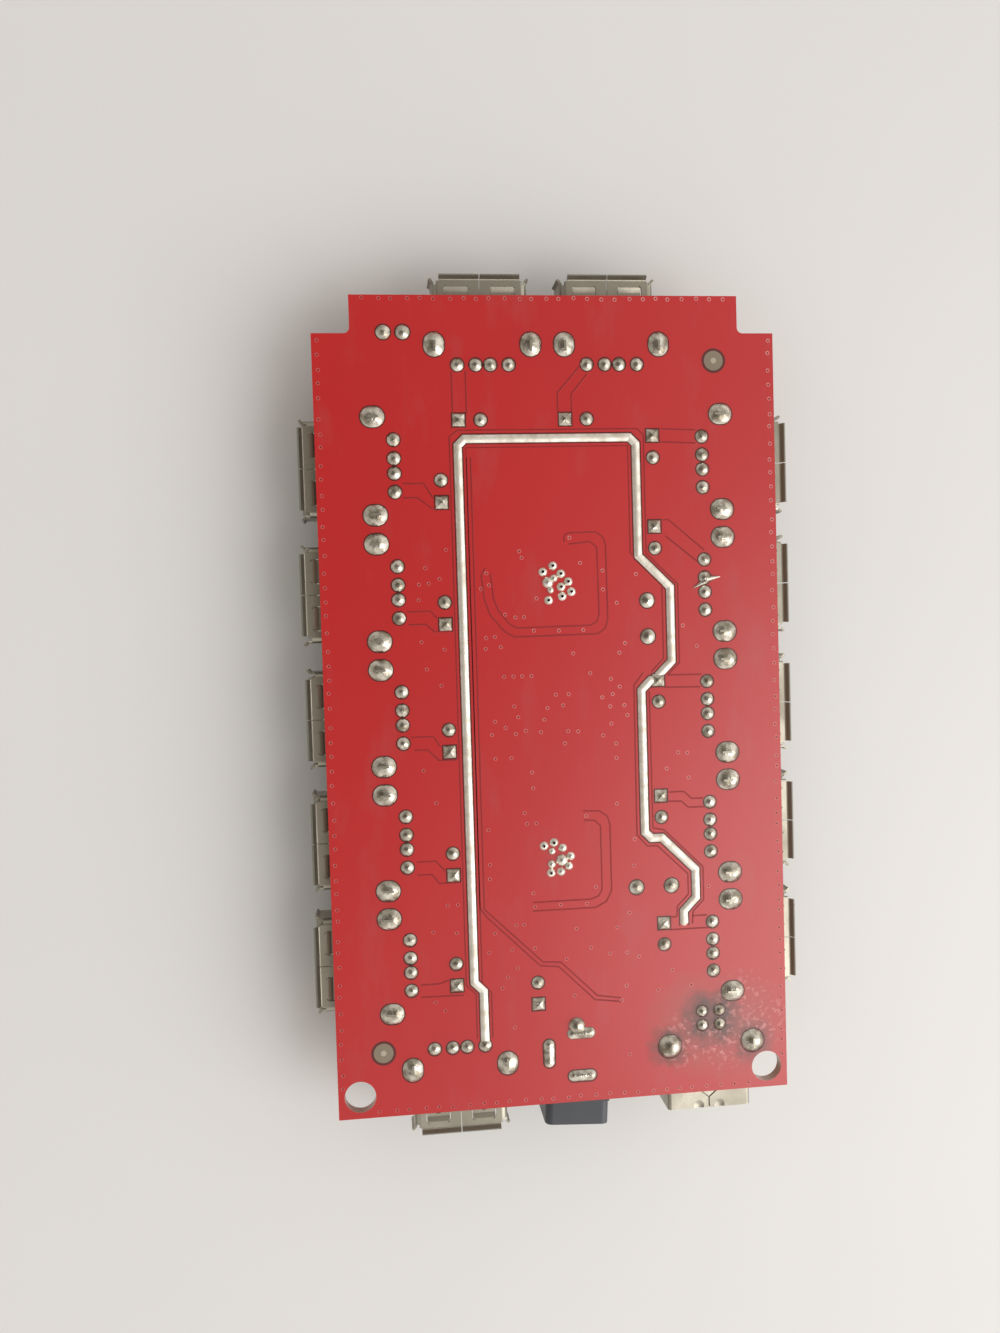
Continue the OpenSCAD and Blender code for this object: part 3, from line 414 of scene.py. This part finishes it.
def sleeved_can(name, stripe):
    """Sleeve with a stripe towards a direction, and bare aluminium inside the fold."""
    made, tree, shader = material(name)
    place = node(tree, "ShaderNodeTexCoord").outputs["Object"]
    facing = node(tree, "ShaderNodeNewGeometry").outputs["Normal"]
    patches = node(tree, "ShaderNodeTexNoise", {"Vector": place, "Scale": per_mm(3), "Detail": 2.0})
    film = blend(tree, patches.outputs[0], paint("1B2130"), paint("222A3C"))
    towards = node(tree, "ShaderNodeVectorMath", {0: facing, 1: stripe}, operation="DOT_PRODUCT")
    striped = node(tree, "ShaderNodeMath", {0: towards.outputs["Value"], 1: STRIPE_EDGE},
                   operation="GREATER_THAN").outputs[0]
    film = blend(tree, striped, film, paint("A9ADB2"))
    down = node(tree, "ShaderNodeSeparateXYZ", {0: facing}).outputs["Z"]
    lies = node(tree, "ShaderNodeMath", {0: down, 1: FACES_DOWN},
                operation="LESS_THAN").outputs[0]
    height = node(tree, "ShaderNodeSeparateXYZ", {0: place}).outputs["Z"]
    inside = node(tree, "ShaderNodeMath", {0: height, 1: TOP_FROM}, operation="GREATER_THAN")
    near = node(tree, "ShaderNodeMath", {0: height, 1: TOP_TO}, operation="LESS_THAN")
    bare = times(tree, times(tree, lies, inside.outputs[0]), near.outputs[0])
    brushed = blend(tree, patches.outputs[0], paint("C9CACC"), paint("DADBDC"))
    grain = node(tree, "ShaderNodeTexNoise", {"Vector": place, "Scale": per_mm(0.25)})
    bump = node(tree, "ShaderNodeBump", {"Height": grain.outputs[0], "Strength": 0.3,
                "Distance": 0.000004})
    tree.links.new(blend(tree, bare, film, brushed), shader.inputs["Base Color"])
    tree.links.new(bare, shader.inputs["Metallic"])
    tree.links.new(node(tree, "ShaderNodeMapRange", {"Value": patches.outputs[0], "To Min": 0.24,
                   "To Max": 0.38}).outputs[0], shader.inputs["Roughness"])
    tree.links.new(bump.outputs[0], shader.inputs["Normal"])
    return made


cans_far_stripe = sleeved_can("sleeved_can_stripe_far", (0.0, 1.0, 0.0))
cans_near_stripe = sleeved_can("sleeved_can_stripe_near", (0.0, -1.0, 0.0))
cans_side_stripe = sleeved_can("sleeved_can_stripe_right", (1.0, 0.0, 0.0))
print("can finishes made")

# %% [markdown]
# Each node of the exact model takes its finish here. A node keeps its own mesh, and only its
# material slots change, so nothing moves.

# %% Dress the exact nodes
FINISH = {
    "pcb": mask, "solder_joints": joint_solder, "tinned_track": track_solder,
    "thermal_vias": via_solder, "usb_a_shell": nickel, "usb_b_shell": nickel,
    "usb_a_insulator": white_plastic, "usb_b_insulator": white_plastic,
    "usb_a_contacts": flashed, "usb_b_contacts": flashed, "jack_housing": jack_plastic,
    "jack_centre_pin": tinned, "jack_sleeve_spring": tinned, "jack_switch_spring": tinned,
    "capacitors_left": cans_far_stripe, "capacitors_right": cans_near_stripe,
    "capacitors_far": cans_side_stripe, "capacitor_near": cans_far_stripe,
    "hub_chips": chip_epoxy, "hub_chip_leads": tinned, "crystals": drawn_can,
    "power_led": lens, "chip_capacitors": ceramic, "chip_resistors": chip_epoxy,
}
for name, item in frame["nodes"].items():
    start = max((k for k in FINISH if name.startswith(k)), key=len)
    item.data.materials.clear()
    item.data.materials.append(FINISH[start])
print("nodes dressed:", len(frame["nodes"]))

# %% [markdown]
# Under the varnish, a gap runs along both sides of each copper track, and the varnish dips into it.
# From above it is a hairline with one side catching the light. Here it is a low ridge painted a darker
# red, painted shade that stands for the shade in the dip. Each line starts as one point that is
# extruded from corner to corner, becomes a curve, and gets its round section from the curve's bevel;
# most of it is sunk, so only a sliver stands out.

# %% Hairlines along the tracks
# under this width in mm a line needs few sides
THIN_LINE = 0.5


def deselect():
    """Leaves edit mode and selects nothing."""
    if bpy.context.object and bpy.context.object.mode != "OBJECT":
        bpy.ops.object.mode_set(mode="OBJECT")
    bpy.ops.object.select_all(action="DESELECT")


def line(points, width, rise, tip=1.0):
    """A ridge width wide and rise high, in mm, along a path on the board; tip narrows its end."""
    radius = (width * width / 4 + rise * rise) / (2 * rise)
    deselect()
    bpy.ops.mesh.primitive_plane_add(size=0.001, location=at(*points[0], rise - radius))
    bpy.ops.object.mode_set(mode="EDIT")
    bpy.ops.mesh.select_mode(type="VERT")
    bpy.ops.mesh.select_all(action="SELECT")
    bpy.ops.mesh.merge(type="CENTER")
    for a, b in zip(points, points[1:]):
        step = ((b[0] - a[0]) / 1000, (b[1] - a[1]) / 1000, 0)
        bpy.ops.mesh.extrude_region_move(TRANSFORM_OT_translate={"value": step})
    bpy.ops.object.mode_set(mode="OBJECT")
    bpy.ops.object.convert(target="CURVE")
    made = bpy.context.object
    made.data.bevel_depth = radius / 1000
    made.data.bevel_resolution = 3 if width < THIN_LINE else 10
    made.data.use_fill_caps = True
    ends = made.data.splines[0].points
    last = ends[-1] if (ends[-1].co.xy - ends[0].co.xy).dot(
        Vector(points[-1]) - Vector(points[0])) > 0 else ends[0]
    last.radius = tip
    bpy.ops.object.convert(target="MESH")
    bpy.ops.object.transform_apply()
    return bpy.context.object


def gather(items, name, look):
    """Joins items into one piece of that name, with one material unless look is None."""
    deselect()
    for item in items:
        item.select_set(True)
    bpy.context.view_layer.objects.active = items[0]
    bpy.ops.object.join()
    made = bpy.context.object
    made.name = made.data.name = name
    if look:
        made.data.materials.clear()
        made.data.materials.append(look)
    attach(made, "root")
    return made


# each path is the edge of a track: x and y in mm from the board's middle
SOCKET_LINES = [
    [(-20.2, 30.6), (-17.4, 30.6), (-16.2, 28.6)],
    [(-20.2, 28.7), (-18.3, 28.7), (-16.4, 27.2), (-14.2, 27.2)],
    [(-20.2, 13.35), (-17.0, 13.35), (-16.2, 12.4)],
    [(-20.0, 11.6), (-17.7, 11.6), (-16.6, 10.55), (-14.2, 10.55)],
    [(-20.2, -3.7), (-17.2, -3.7), (-16.3, -5.1)],
    [(-19.8, -5.5), (-18.0, -5.5), (-16.5, -7.0), (-14.2, -7.0)],
    [(-20.0, -20.8), (-17.4, -20.8), (-16.2, -22.2)],
    [(-20.0, -22.6), (-18.0, -22.6), (-17.0, -23.9), (-14.2, -23.9)],
    [(-20.0, -37.8), (-17.5, -37.8), (-16.2, -37.4)],
    [(-20.0, -39.5), (-14.2, -39.6)],
    [(15.5, 37.6), (20.4, 37.4)],
    [(15.3, 35.8), (20.4, 35.6)],
    [(15.5, 25.1), (16.3, 25.1), (21.3, 20.8)],
    [(15.8, 22.9), (20.3, 19.2)],
    [(15.6, 3.55), (20.5, 3.5)],
    [(15.2, 1.85), (20.3, 1.75)],
    [(15.5, -12.85), (17.6, -12.85), (18.7, -13.9), (20.3, -13.9)],
    [(15.4, -14.15), (17.2, -14.2), (18.2, -15.1), (20.5, -15.15)],
    [(15.2, -30.5), (16.2, -30.5)],
    [(18.4, -30.5), (20.5, -30.5)],
    [(15.2, -32.3), (20.8, -32.3)],
    [(-13.2, 45.6), (-13.2, 39.9)],
    [(-11.3, 45.6), (-11.3, 39.9)],
    [(4.4, 46.2), (1.2, 42.6), (1.2, 40.1)],
    [(5.4, 45.2), (3.1, 42.4), (3.1, 40.1)],
]
LOOP_LINES = [
    [(1.6, 22.3), (1.6, 23.2), (2.2, 23.55), (6.0, 23.6), (7.0, 22.9), (7.35, 21.8), (7.4, 11.6),
     (7.0, 10.3), (6.0, 9.6), (-5.6, 9.5), (-6.9, 10.2), (-8.9, 12.6), (-9.6, 14.6), (-10.0, 18.0),
     (-9.4, 19.0)],
    [(2.2, 22.0), (5.2, 22.3), (6.1, 21.5), (6.2, 12.2), (5.8, 11.2), (4.9, 10.8), (-5.2, 10.7),
     (-6.2, 11.2), (-7.8, 13.2), (-8.4, 14.9), (-8.7, 18.2)],
    [(3.2, -14.9), (5.5, -15.0), (6.6, -15.8), (6.95, -17.0), (6.95, -26.2), (6.2, -27.7),
     (4.6, -28.5), (-4.2, -28.5)],
    [(3.3, -16.2), (4.8, -16.3), (5.6, -17.1), (5.6, -26.0), (5.1, -26.9), (4.0, -27.3),
     (-4.2, -27.3)],
    [(-11.5, 34.0), (-11.55, -27.6), (-10.6, -29.0), (-3.4, -36.2), (-0.8, -36.5), (4.2, -41.5),
     (7.9, -42.0)],
    [(-10.95, 34.0), (-10.95, -27.8), (-10.2, -28.6), (-3.0, -35.7), (-0.5, -35.9), (4.5, -40.9),
     (7.9, -41.5)],
]
TRACK_LINES = [
    [(-10.3, -45.8), (-10.3, -39.5), (-11.55, -38.2), (-11.55, 35.3), (10.8, 35.35),
     (10.8, 20.6), (15.15, 16.2), (15.15, 5.9), (13.4, 4.1)],
    [(-12.45, -45.8), (-12.45, -39.6), (-13.75, -38.3), (-13.75, 36.8), (-12.6, 37.65),
     (12.2, 37.65), (13.05, 36.8), (13.05, 20.5), (17.4, 16.2), (17.4, 5.2), (15.7, 3.6)],
    [(12.2, 4.0), (10.85, 2.3), (10.75, -18.6), (12.2, -20.3), (13.6, -20.3), (17.9, -24.5),
     (17.9, -27.4), (16.3, -29.0), (16.2, -30.4)],
    [(13.0, 1.4), (13.05, -17.8), (14.6, -18.1), (20.1, -23.6), (20.1, -28.3), (18.5, -29.9),
     (18.4, -31.6)],
]
# the lines are painted a darker red: painted shade for the dip beside each track
dip_shade_red, tree, shader = material("solder_mask_in_the_gap_painted_shade", Roughness=0.4)
place = node(tree, "ShaderNodeTexCoord").outputs["Object"]
cloud = node(tree, "ShaderNodeTexNoise", {"Vector": place, "Scale": per_mm(4)})
deep = blend(tree, cloud.outputs[0], paint("861316"), paint("981A1C"))
tree.links.new(deep, shader.inputs["Base Color"])
lines = [line(p, 0.26, 0.04) for p in SOCKET_LINES + LOOP_LINES + TRACK_LINES]
seams = gather(lines, "mask_seams", dip_shade_red)
print("track edges:", len(lines), "faces:", len(seams.data.polygons))

# %% [markdown]
# The tinned track was left bare and dragged through the solder wave, so the solder froze on it as
# a low round ridge. The exact model has it as a flat-topped strip; the ridge takes the strip's
# place. It breaks off at the square pad, and its far end thins out.

# %% Solder ridge on the tinned track
RIDGES = [
    [(-11.4, -46.2), (-11.4, -39.2), (-12.65, -37.95), (-12.65, 35.6), (-11.75, 36.5),
     (11.0, 36.5), (11.9, 35.6), (11.9, 20.2), (16.3, 15.8), (16.3, 5.5), (14.3, 3.5),
     (14.3, 3.4)],
    [(13.8, 2.9), (13.2, 2.9), (11.9, 1.6), (11.9, -18.3), (12.8, -19.2), (14.3, -19.2),
     (19.0, -23.9), (19.0, -27.9), (17.2, -29.7), (17.2, -31.4), (17.2, -31.8)],
]
RIDGE_W, RIDGE_H, PRESSED = 1.24, 0.33, 0.67
ridges = [line(RIDGES[0], RIDGE_W, RIDGE_H), line(RIDGES[1], RIDGE_W, RIDGE_H, 0.6)]
ridge = gather(ridges, "solder_ridge", track_solder)
# pressed to two thirds of its height, so that its round underside stays inside the board
bpy.ops.object.mode_set(mode="EDIT")
bpy.ops.mesh.select_all(action="SELECT")
bpy.ops.transform.resize(value=(1, 1, PRESSED), center_override=at(0, 0, 0))
bpy.ops.object.mode_set(mode="OBJECT")
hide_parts("tinned_track")
print("ridge faces:", len(ridge.data.polygons))

# %% [markdown]
# Two joints of one socket were touched by the iron as they froze and pulled out to spikes. The
# varnish has a few scratches, paler than the rest.

# %% Spikes and scratches
spikes = [line([(21.4, 16.8), (23.5, 17.05)], 1.1, 0.56, 0.1),
          line([(21.3, 16.5), (19.6, 15.55)], 0.9, 0.5, 0.1)]
gather(spikes, "solder_spikes", joint_solder)
pale_scratch = moulded("scratched_solder_mask", "D06A66", "C85A58", 0.5, 0.3, 0.002)
SCRATCHES = [
    [(-9.7, -42.5), (-4.9, -42.4), (-2.2, -42.0)], [(-0.9, -42.2), (0.8, -42.4), (2.5, -42.8)],
    [(22.5, 0.1), (24.0, 0.6), (25.5, 1.25)], [(-9.5, 30.0), (-8.2, 31.15)],
    [(-7.3, 43.5), (-5.6, 44.3)], [(-24.8, 3.3), (-24.2, 2.2)],
    [(-13.0, -41.4), (-15.4, -41.2), (-16.2, -41.5)],
]
scratches = [line(path, 0.13, 0.01) for path in SCRATCHES]
gather(scratches, "mask_scratches", pale_scratch)
print("spikes and scratches made")

# %% [markdown]
# The small parts round the hub chips are fired blocks with tinned ends. The ends were dipped, so
# they stand a hair proud of the middle. Each part is three cubes, one for the middle and one for
# each end, set to size in edit mode and bevelled. They stand for the exact model's plain ones.

# %% Chip capacitors and resistors
CHIPS = [(0.4, 16.9), (-0.2, -21.3)]


def block(x, y, length, width, height, look):
    """A bevelled block of that size in mm, standing on the component face."""
    deselect()
    bpy.ops.mesh.primitive_cube_add(size=0.001, calc_uvs=False,
                                    location=at(x, y, -BOARD_T - height / 2))
    made = bpy.context.object
    bpy.ops.object.mode_set(mode="EDIT")
    bpy.ops.mesh.select_all(action="SELECT")
    bpy.ops.transform.resize(value=(length, width, height))
    bpy.ops.object.mode_set(mode="OBJECT")
    bevel = made.modifiers.new("edges", "BEVEL")
    bevel.width, bevel.segments = 0.00004, 1
    bpy.ops.object.modifier_apply(modifier=bevel.name)
    bpy.ops.object.transform_apply()
    made.data.materials.append(look)
    return made


def chip_parts(places, size, look, name):
    """Parts at offsets from each hub chip, lying along x, or along y where turned is true."""
    length, width, height, end = size
    items = []
    for cx, cy in CHIPS:
        for dx, dy, turned in places:
            for shift, long, thin, look_now in ((0, length - end, 0.04, look),
                    ((end - length) / 2, end, 0, tinned), ((length - end) / 2, end, 0, tinned)):
                mid = (0, shift) if turned else (shift, 0)
                span = (width - thin, long) if turned else (long, width - thin)
                items.append(block(cx + dx + mid[0], cy + dy + mid[1], *span, height - thin,
                                   look_now))
    return gather(items, name, None)


caps = chip_parts([(6.3, 4.2, False), (6.3, -3.6, False), (-6.2, 4.4, False),
                   (-6.2, -4.0, False), (-2.5, 6.4, True)], (2.0, 1.25, 0.8, 0.45), ceramic,
                  "chip_capacitors_fired")
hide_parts("chip_capacitors")
resistors = chip_parts([(6.3, 1.6, False), (6.3, -0.8, False), (-6.2, 0.2, False),
                        (2.4, 6.4, True)], (1.6, 0.8, 0.45, 0.3), chip_epoxy,
                       "chip_resistors_fired")
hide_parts("chip_resistors")
print("small parts:", len(caps.data.polygons) + len(resistors.data.polygons), "faces")

# %% [markdown]
# Hundreds of small vias tie the copper layers together. The varnish closes them, and each shows as a
# low ring of raised copper round a pinprick. The ring's paler red is partly that copper and partly
# painted light, and the pinprick is painted dark as the shade down the hole. One is modelled from a
# twelve-sided disc: its top is inset twice and the middle pushed down. Then it is copied, each copy
# with its own mesh. The two round marks that the placing machine looks for are made in the same way,
# from bare laminate with a tinned dot, inside a dark ring of painted shade.

# %% Low round shapes
DISC_DEPTH = 0.1


def disc(sides, radius, rise, rings):
    """A disc at the board's middle; each ring insets its top and lifts it, with a look each."""
    deselect()
    bpy.ops.mesh.primitive_cylinder_add(vertices=sides, radius=radius / 1000,
                                        depth=DISC_DEPTH / 1000,
                                        location=at(0, 0, rise - DISC_DEPTH / 2))
    made = bpy.context.object
    for inset, lift, look in rings:
        made.data.materials.append(look)
    for face in made.data.polygons:
        face.select = face.normal.z > 0.9
    for edge in made.data.edges:
        edge.select = False
    for point in made.data.vertices:
        point.select = False
    bpy.ops.object.mode_set(mode="EDIT")
    bpy.ops.mesh.select_mode(type="FACE")
    for i, (inset, lift, look) in enumerate(rings[1:], 1):
        bpy.ops.mesh.inset(thickness=inset / 1000)
        bpy.ops.transform.translate(value=(0, 0, lift / 1000))
        made.active_material_index = i
        bpy.ops.object.material_slot_assign()
    bpy.ops.object.mode_set(mode="OBJECT")
    bpy.ops.object.transform_apply()
    return made


def spread(master, places, name):
    """Copies a shape to each place on the board, joins the copies and removes the first."""
    copies = []
    for x, y in places:
        twin = master.copy()
        twin.data = master.data.copy()
        twin.data.transform(Matrix.Translation(at(x, y) - at(0, 0)))
        bpy.context.collection.objects.link(twin)
        copies.append(twin)
    bpy.data.objects.remove(master)
    return gather(copies, name, None)


# the rings are painted paler on the right half of the board, painted light where the window falls;
# their lighter red is partly the copper under the varnish and partly a painted highlight
ring_red_painted_light, tree, shader = material("solder_mask_on_a_via_painted_light", Roughness=0.36)
place = node(tree, "ShaderNodeTexCoord").outputs["Object"]
right = node(tree, "ShaderNodeMapRange", {"Value": node(tree, "ShaderNodeSeparateXYZ",
             {0: place}).outputs["X"], "From Min": -0.014, "From Max": 0.012}).outputs[0]
thin = node(tree, "ShaderNodeTexNoise", {"Vector": place, "Scale": per_mm(5)}).outputs[0]
tree.links.new(blend(tree, right, blend(tree, thin, paint("BC3A38"), paint("C84E4B")),
                     blend(tree, thin, paint("CB5656"), paint("DC7F7C"))),
               shader.inputs["Base Color"])
# the pinprick in each via is painted near black: painted shade down the closed hole
hole_painted_shade = moulded("painted_shade_down_a_via", "4E0E10", "601416", 0.5, 0.2, 0.002)
# the dark outer ring of each placing mark is painted shade
rim_shade = moulded("painted_shade_round_the_mark", "541E1C", "602522", 0.45, 0.4, 0.004)
laminate = moulded("bare_laminate", "7E7060", "8A7C68", 0.4, 0.4, 0.004)
dull_tin = moulded("tarnished_tin", "A69C86", "B2A892", 0.4, 0.3, 0.004)
via = disc(12, 0.30, 0.02, [(0, 0, ring_red_painted_light), (0.06, 0.012, ring_red_painted_light), (0.11, -0.03, hole_painted_shade)])
mark = disc(32, 1.7, 0.012, [(0, 0, rim_shade), (0.35, 0.0, laminate), (0.95, 0.02, dull_tin)])
print("faces in one via:", len(via.data.polygons), "in one mark:", len(mark.data.polygons))
spread(mark, [(23.2, 46.9), (-25.4, -46.9)], "placing_marks")

# %% [markdown]
# Varnish stops a little short of every joint and of the tinned track, and each has a thin dark outline
# there: painted contact shade where the solder meets the board. The joints' places are found in the
# exact model: a copy of
# their mesh is parted into loose pieces, and each gets a flat disc a little wider than itself,
# save for one that runs into its neighbour. Under a square pad the disc has four sides, and under
# a slot its two halves are moved apart. Beside the track run two low lines.

# %% Painted shade round the solder
# the painted shade shows this many mm beyond a joint
OUTLINE_SHOWS = 0.12
BESIDE_RIDGE = 0.66
# a joint keeps its outline if it is nearly round, or slim: under this half width in metres
NEARLY_ROUND, SLIM = 1.25, 0.001
# the corners of a square reach further from its middle than this, counted in half sides
SQUARE_REACH = 1.2


def joints():
    """Middle, half sizes and squareness of each separate joint, in metres."""
    deselect()
    before = set(bpy.data.objects)
    twin = bpy.data.objects.new("joint", frame["nodes"]["solder_joints"].data.copy())
    bpy.context.collection.objects.link(twin)
    twin.select_set(True)
    bpy.context.view_layer.objects.active = twin
    bpy.ops.object.mode_set(mode="EDIT")
    bpy.ops.mesh.select_all(action="SELECT")
    bpy.ops.mesh.remove_doubles(threshold=0.0000002)
    bpy.ops.mesh.separate(type="LOOSE")
    bpy.ops.object.mode_set(mode="OBJECT")
    found = []
    for part in [item for item in bpy.data.objects if item not in before]:
        xs = [point.co.x for point in part.data.vertices]
        ys = [point.co.y for point in part.data.vertices]
        middle = Vector(((min(xs) + max(xs)) / 2, (min(ys) + max(ys)) / 2))
        half = ((max(xs) - min(xs)) / 2, (max(ys) - min(ys)) / 2)
        furthest = max((point.co.xy - middle).length for point in part.data.vertices)
        found.append((middle, half, furthest > SQUARE_REACH * max(half)))
        bpy.data.objects.remove(part)
    return sorted(found, key=lambda joint: tuple(joint[0]))


def beside(path, away):
    """The path moved away mm to its left, with mitred corners."""
    points = [Vector(p) for p in path]
    steps = [(b - a).normalized() for a, b in zip(points, points[1:])]
    out = []
    for i, point in enumerate(points):
        before, after = steps[max(i - 1, 0)], steps[min(i, len(steps) - 1)]
        normal = Vector((-before.y - after.y, before.x + after.x)).normalized()
        out.append(tuple(point + normal * away / max(normal.dot((-before.y, before.x)), 0.5)))
    return out


# the outlines are painted a very dark red: painted contact shade round the solder
flux = moulded("painted_shade_outline", "5C1B16", "4A130F", 0.32, 0.3, 0.003)
round_disc = disc(24, 1, 0.012, [(0, 0, flux)])
square_disc = disc(4, 2 ** 0.5, 0.012, [(0, 0, flux)])
square_disc.data.transform(Matrix.Translation(at(0, 0)) @ Matrix.Rotation(math.pi / 4, 4, "Z")
                           @ Matrix.Translation(-at(0, 0)))


def rim(middle, half, square):
    """A flat disc of painted shade OUTLINE_SHOWS wider all round than a joint."""
    made = bpy.data.objects.new("rim", (square_disc if square else round_disc).data.copy())
    bpy.context.collection.objects.link(made)
    start = at(0, 0)
    short = min(half) * 1000 + OUTLINE_SHOWS
    for point in made.data.vertices:
        for axis in (0, 1):
            away = point.co[axis] - start[axis]
            apart = math.copysign(half[axis] - min(half), away)
            point.co[axis] = middle[axis] + away * short + apart
    return made


# two low lines of painted shade run beside the ridge
rims = [line(beside(path, side * BESIDE_RIDGE), 0.22, 0.03)
        for path in RIDGES for side in (-1, 1)]
# the joint that runs into its neighbour has no simple outline and keeps none
plain = [joint for joint in joints()
         if max(joint[1]) < NEARLY_ROUND * min(joint[1]) or min(joint[1]) < SLIM]
rims += [rim(*joint) for joint in plain]
bpy.data.objects.remove(round_disc)
bpy.data.objects.remove(square_disc)
outlines = gather(rims, "flux_outlines", flux)
print("outlines:", len(rims), "faces:", len(outlines.data.polygons))

# %% [markdown]
# Most vias stand wherever two copper layers had to be tied, so their places are a list. Others
# follow the four edges at an even pitch, each a little off it. The far row is shorter than the
# near one, because it ends at the notches.

# %% Places of the vias
# x and y in mm from the board's middle
LOOSE_VIAS = [
    (-18.5, 17.0), (-17.2, 17.1), (-15.7, 17.7), (-17.6, 19.2), (-18.6, 14.9), (-14.7, 21.6),
    (-10.1, 16.2), (-9.0, 16.7), (-9.3, 18.3), (-18.4, 9.2), (-15.3, 8.1), (-17.8, 5.5),
    (-15.9, 3.2), (-4.7, 21.2), (-4.4, 20.3), (-2.5, 14.7), (-6.9, 12.6), (-5.5, 12.2),
    (-4.3, 12.2), (-3.0, 10.3), (-9.6, 9.5), (-8.4, 9.6), (-9.7, 8.0), (-7.6, 8.2), (-7.3, 4.1),
    (-6.0, 4.1), (-4.8, 4.1), (-3.5, 4.1), (-0.2, 1.4), (-6.0, 0.0), (-5.5, -1.5), (-8.7, -2.0),
    (-7.3, -2.9), (-9.2, -3.8), (-5.9, -3.8), (-4.5, -3.4), (-2.4, -3.7), (-1.4, -0.4),
    (-1.9, -2.0), (-8.8, -7.1), (-6.6, -7.1), (-3.8, -9.2), (-3.7, -11.4), (-18.7, -8.3),
    (-17.1, -12.8), (-5.0, -14.8), (-4.7, -16.3), (-3.4, -16.3), (-10.1, -16.9), (0.5, 10.2),
    (3.9, 10.2), (3.7, 19.4), (6.8, 18.3), (6.8, 15.7), (2.3, 22.9), (11.5, 17.7), (8.7, 13.8),
    (2.4, 7.0), (8.9, 6.9), (4.7, 4.2), (7.6, 3.3), (8.8, 2.2), (1.6, 1.4), (6.3, 0.8),
    (7.8, 1.2), (0.8, -0.1), (7.4, -0.5), (9.4, -0.4), (9.8, -1.8), (7.5, -2.9), (1.4, -3.7),
    (2.8, -3.8), (6.3, -4.5), (0.9, -5.4), (8.1, -5.7), (8.1, -7.7), (9.7, 8.2), (18.0, 10.4),
    (19.9, 7.5), (16.9, -7.3), (18.2, -7.4), (15.2, -9.5), (18.3, -10.9), (8.0, -14.1),
    (10.4, -19.2), (3.6, -15.6), (-16.0, -27.0), (-14.6, -27.0), (-18.1, -30.6), (-14.9, -30.9),
    (-10.0, -21.7), (-10.1, -23.7), (-4.1, -26.0), (-3.9, -27.9), (-0.3, -27.8), (3.4, -27.9),
    (-9.6, -31.3), (-10.5, -33.9), (-6.6, -30.3), (-5.5, -30.3), (-7.3, -33.7), (-4.1, -33.7),
    (-6.6, -36.3), (-8.0, -37.5), (-8.8, -39.0), (-18.1, -40.3), (-16.8, -41.6), (-7.2, -44.6),
    (4.7, -25.6), (10.2, -22.9), (9.4, -29.5), (1.8, -31.3), (7.6, -31.5), (3.8, -34.1),
    (6.5, -35.1), (8.9, -35.1), (10.6, -35.8), (0.3, -35.5), (15.3, -38.0), (8.0, -41.8),
    (8.7, -39.8), (1.3, -40.7), (13.2, -40.7), (18.0, -40.3), (20.8, -26.4), (8.9, -49.6),
]
SIDE_X, NEAR_Y, FAR_Y = 31.05, -55.0, 55.3
SIDE_PITCH, END_PITCH = 2.07, 2.0
FAR_SHORTER = 0.95
luck = random.Random(7)
edge_vias = []
for i in range(50):
    along = 50 - SIDE_PITCH * i
    for side in (-1, 1):
        across = side * (SIDE_X + luck.uniform(-0.1, 0.1))
        edge_vias.append((across, along + luck.uniform(-0.4, 0.4)))
for i in range(27):
    across = -26 + END_PITCH * i + luck.uniform(-0.3, 0.3)
    edge_vias.append((across, NEAR_Y + luck.uniform(-0.1, 0.1)))
    edge_vias.append((across * FAR_SHORTER, FAR_Y + luck.uniform(-0.1, 0.1)))
vias = spread(via, LOOSE_VIAS + edge_vias, "tented_vias")
print("vias:", len(LOOSE_VIAS + edge_vias), "faces:", len(vias.data.polygons))
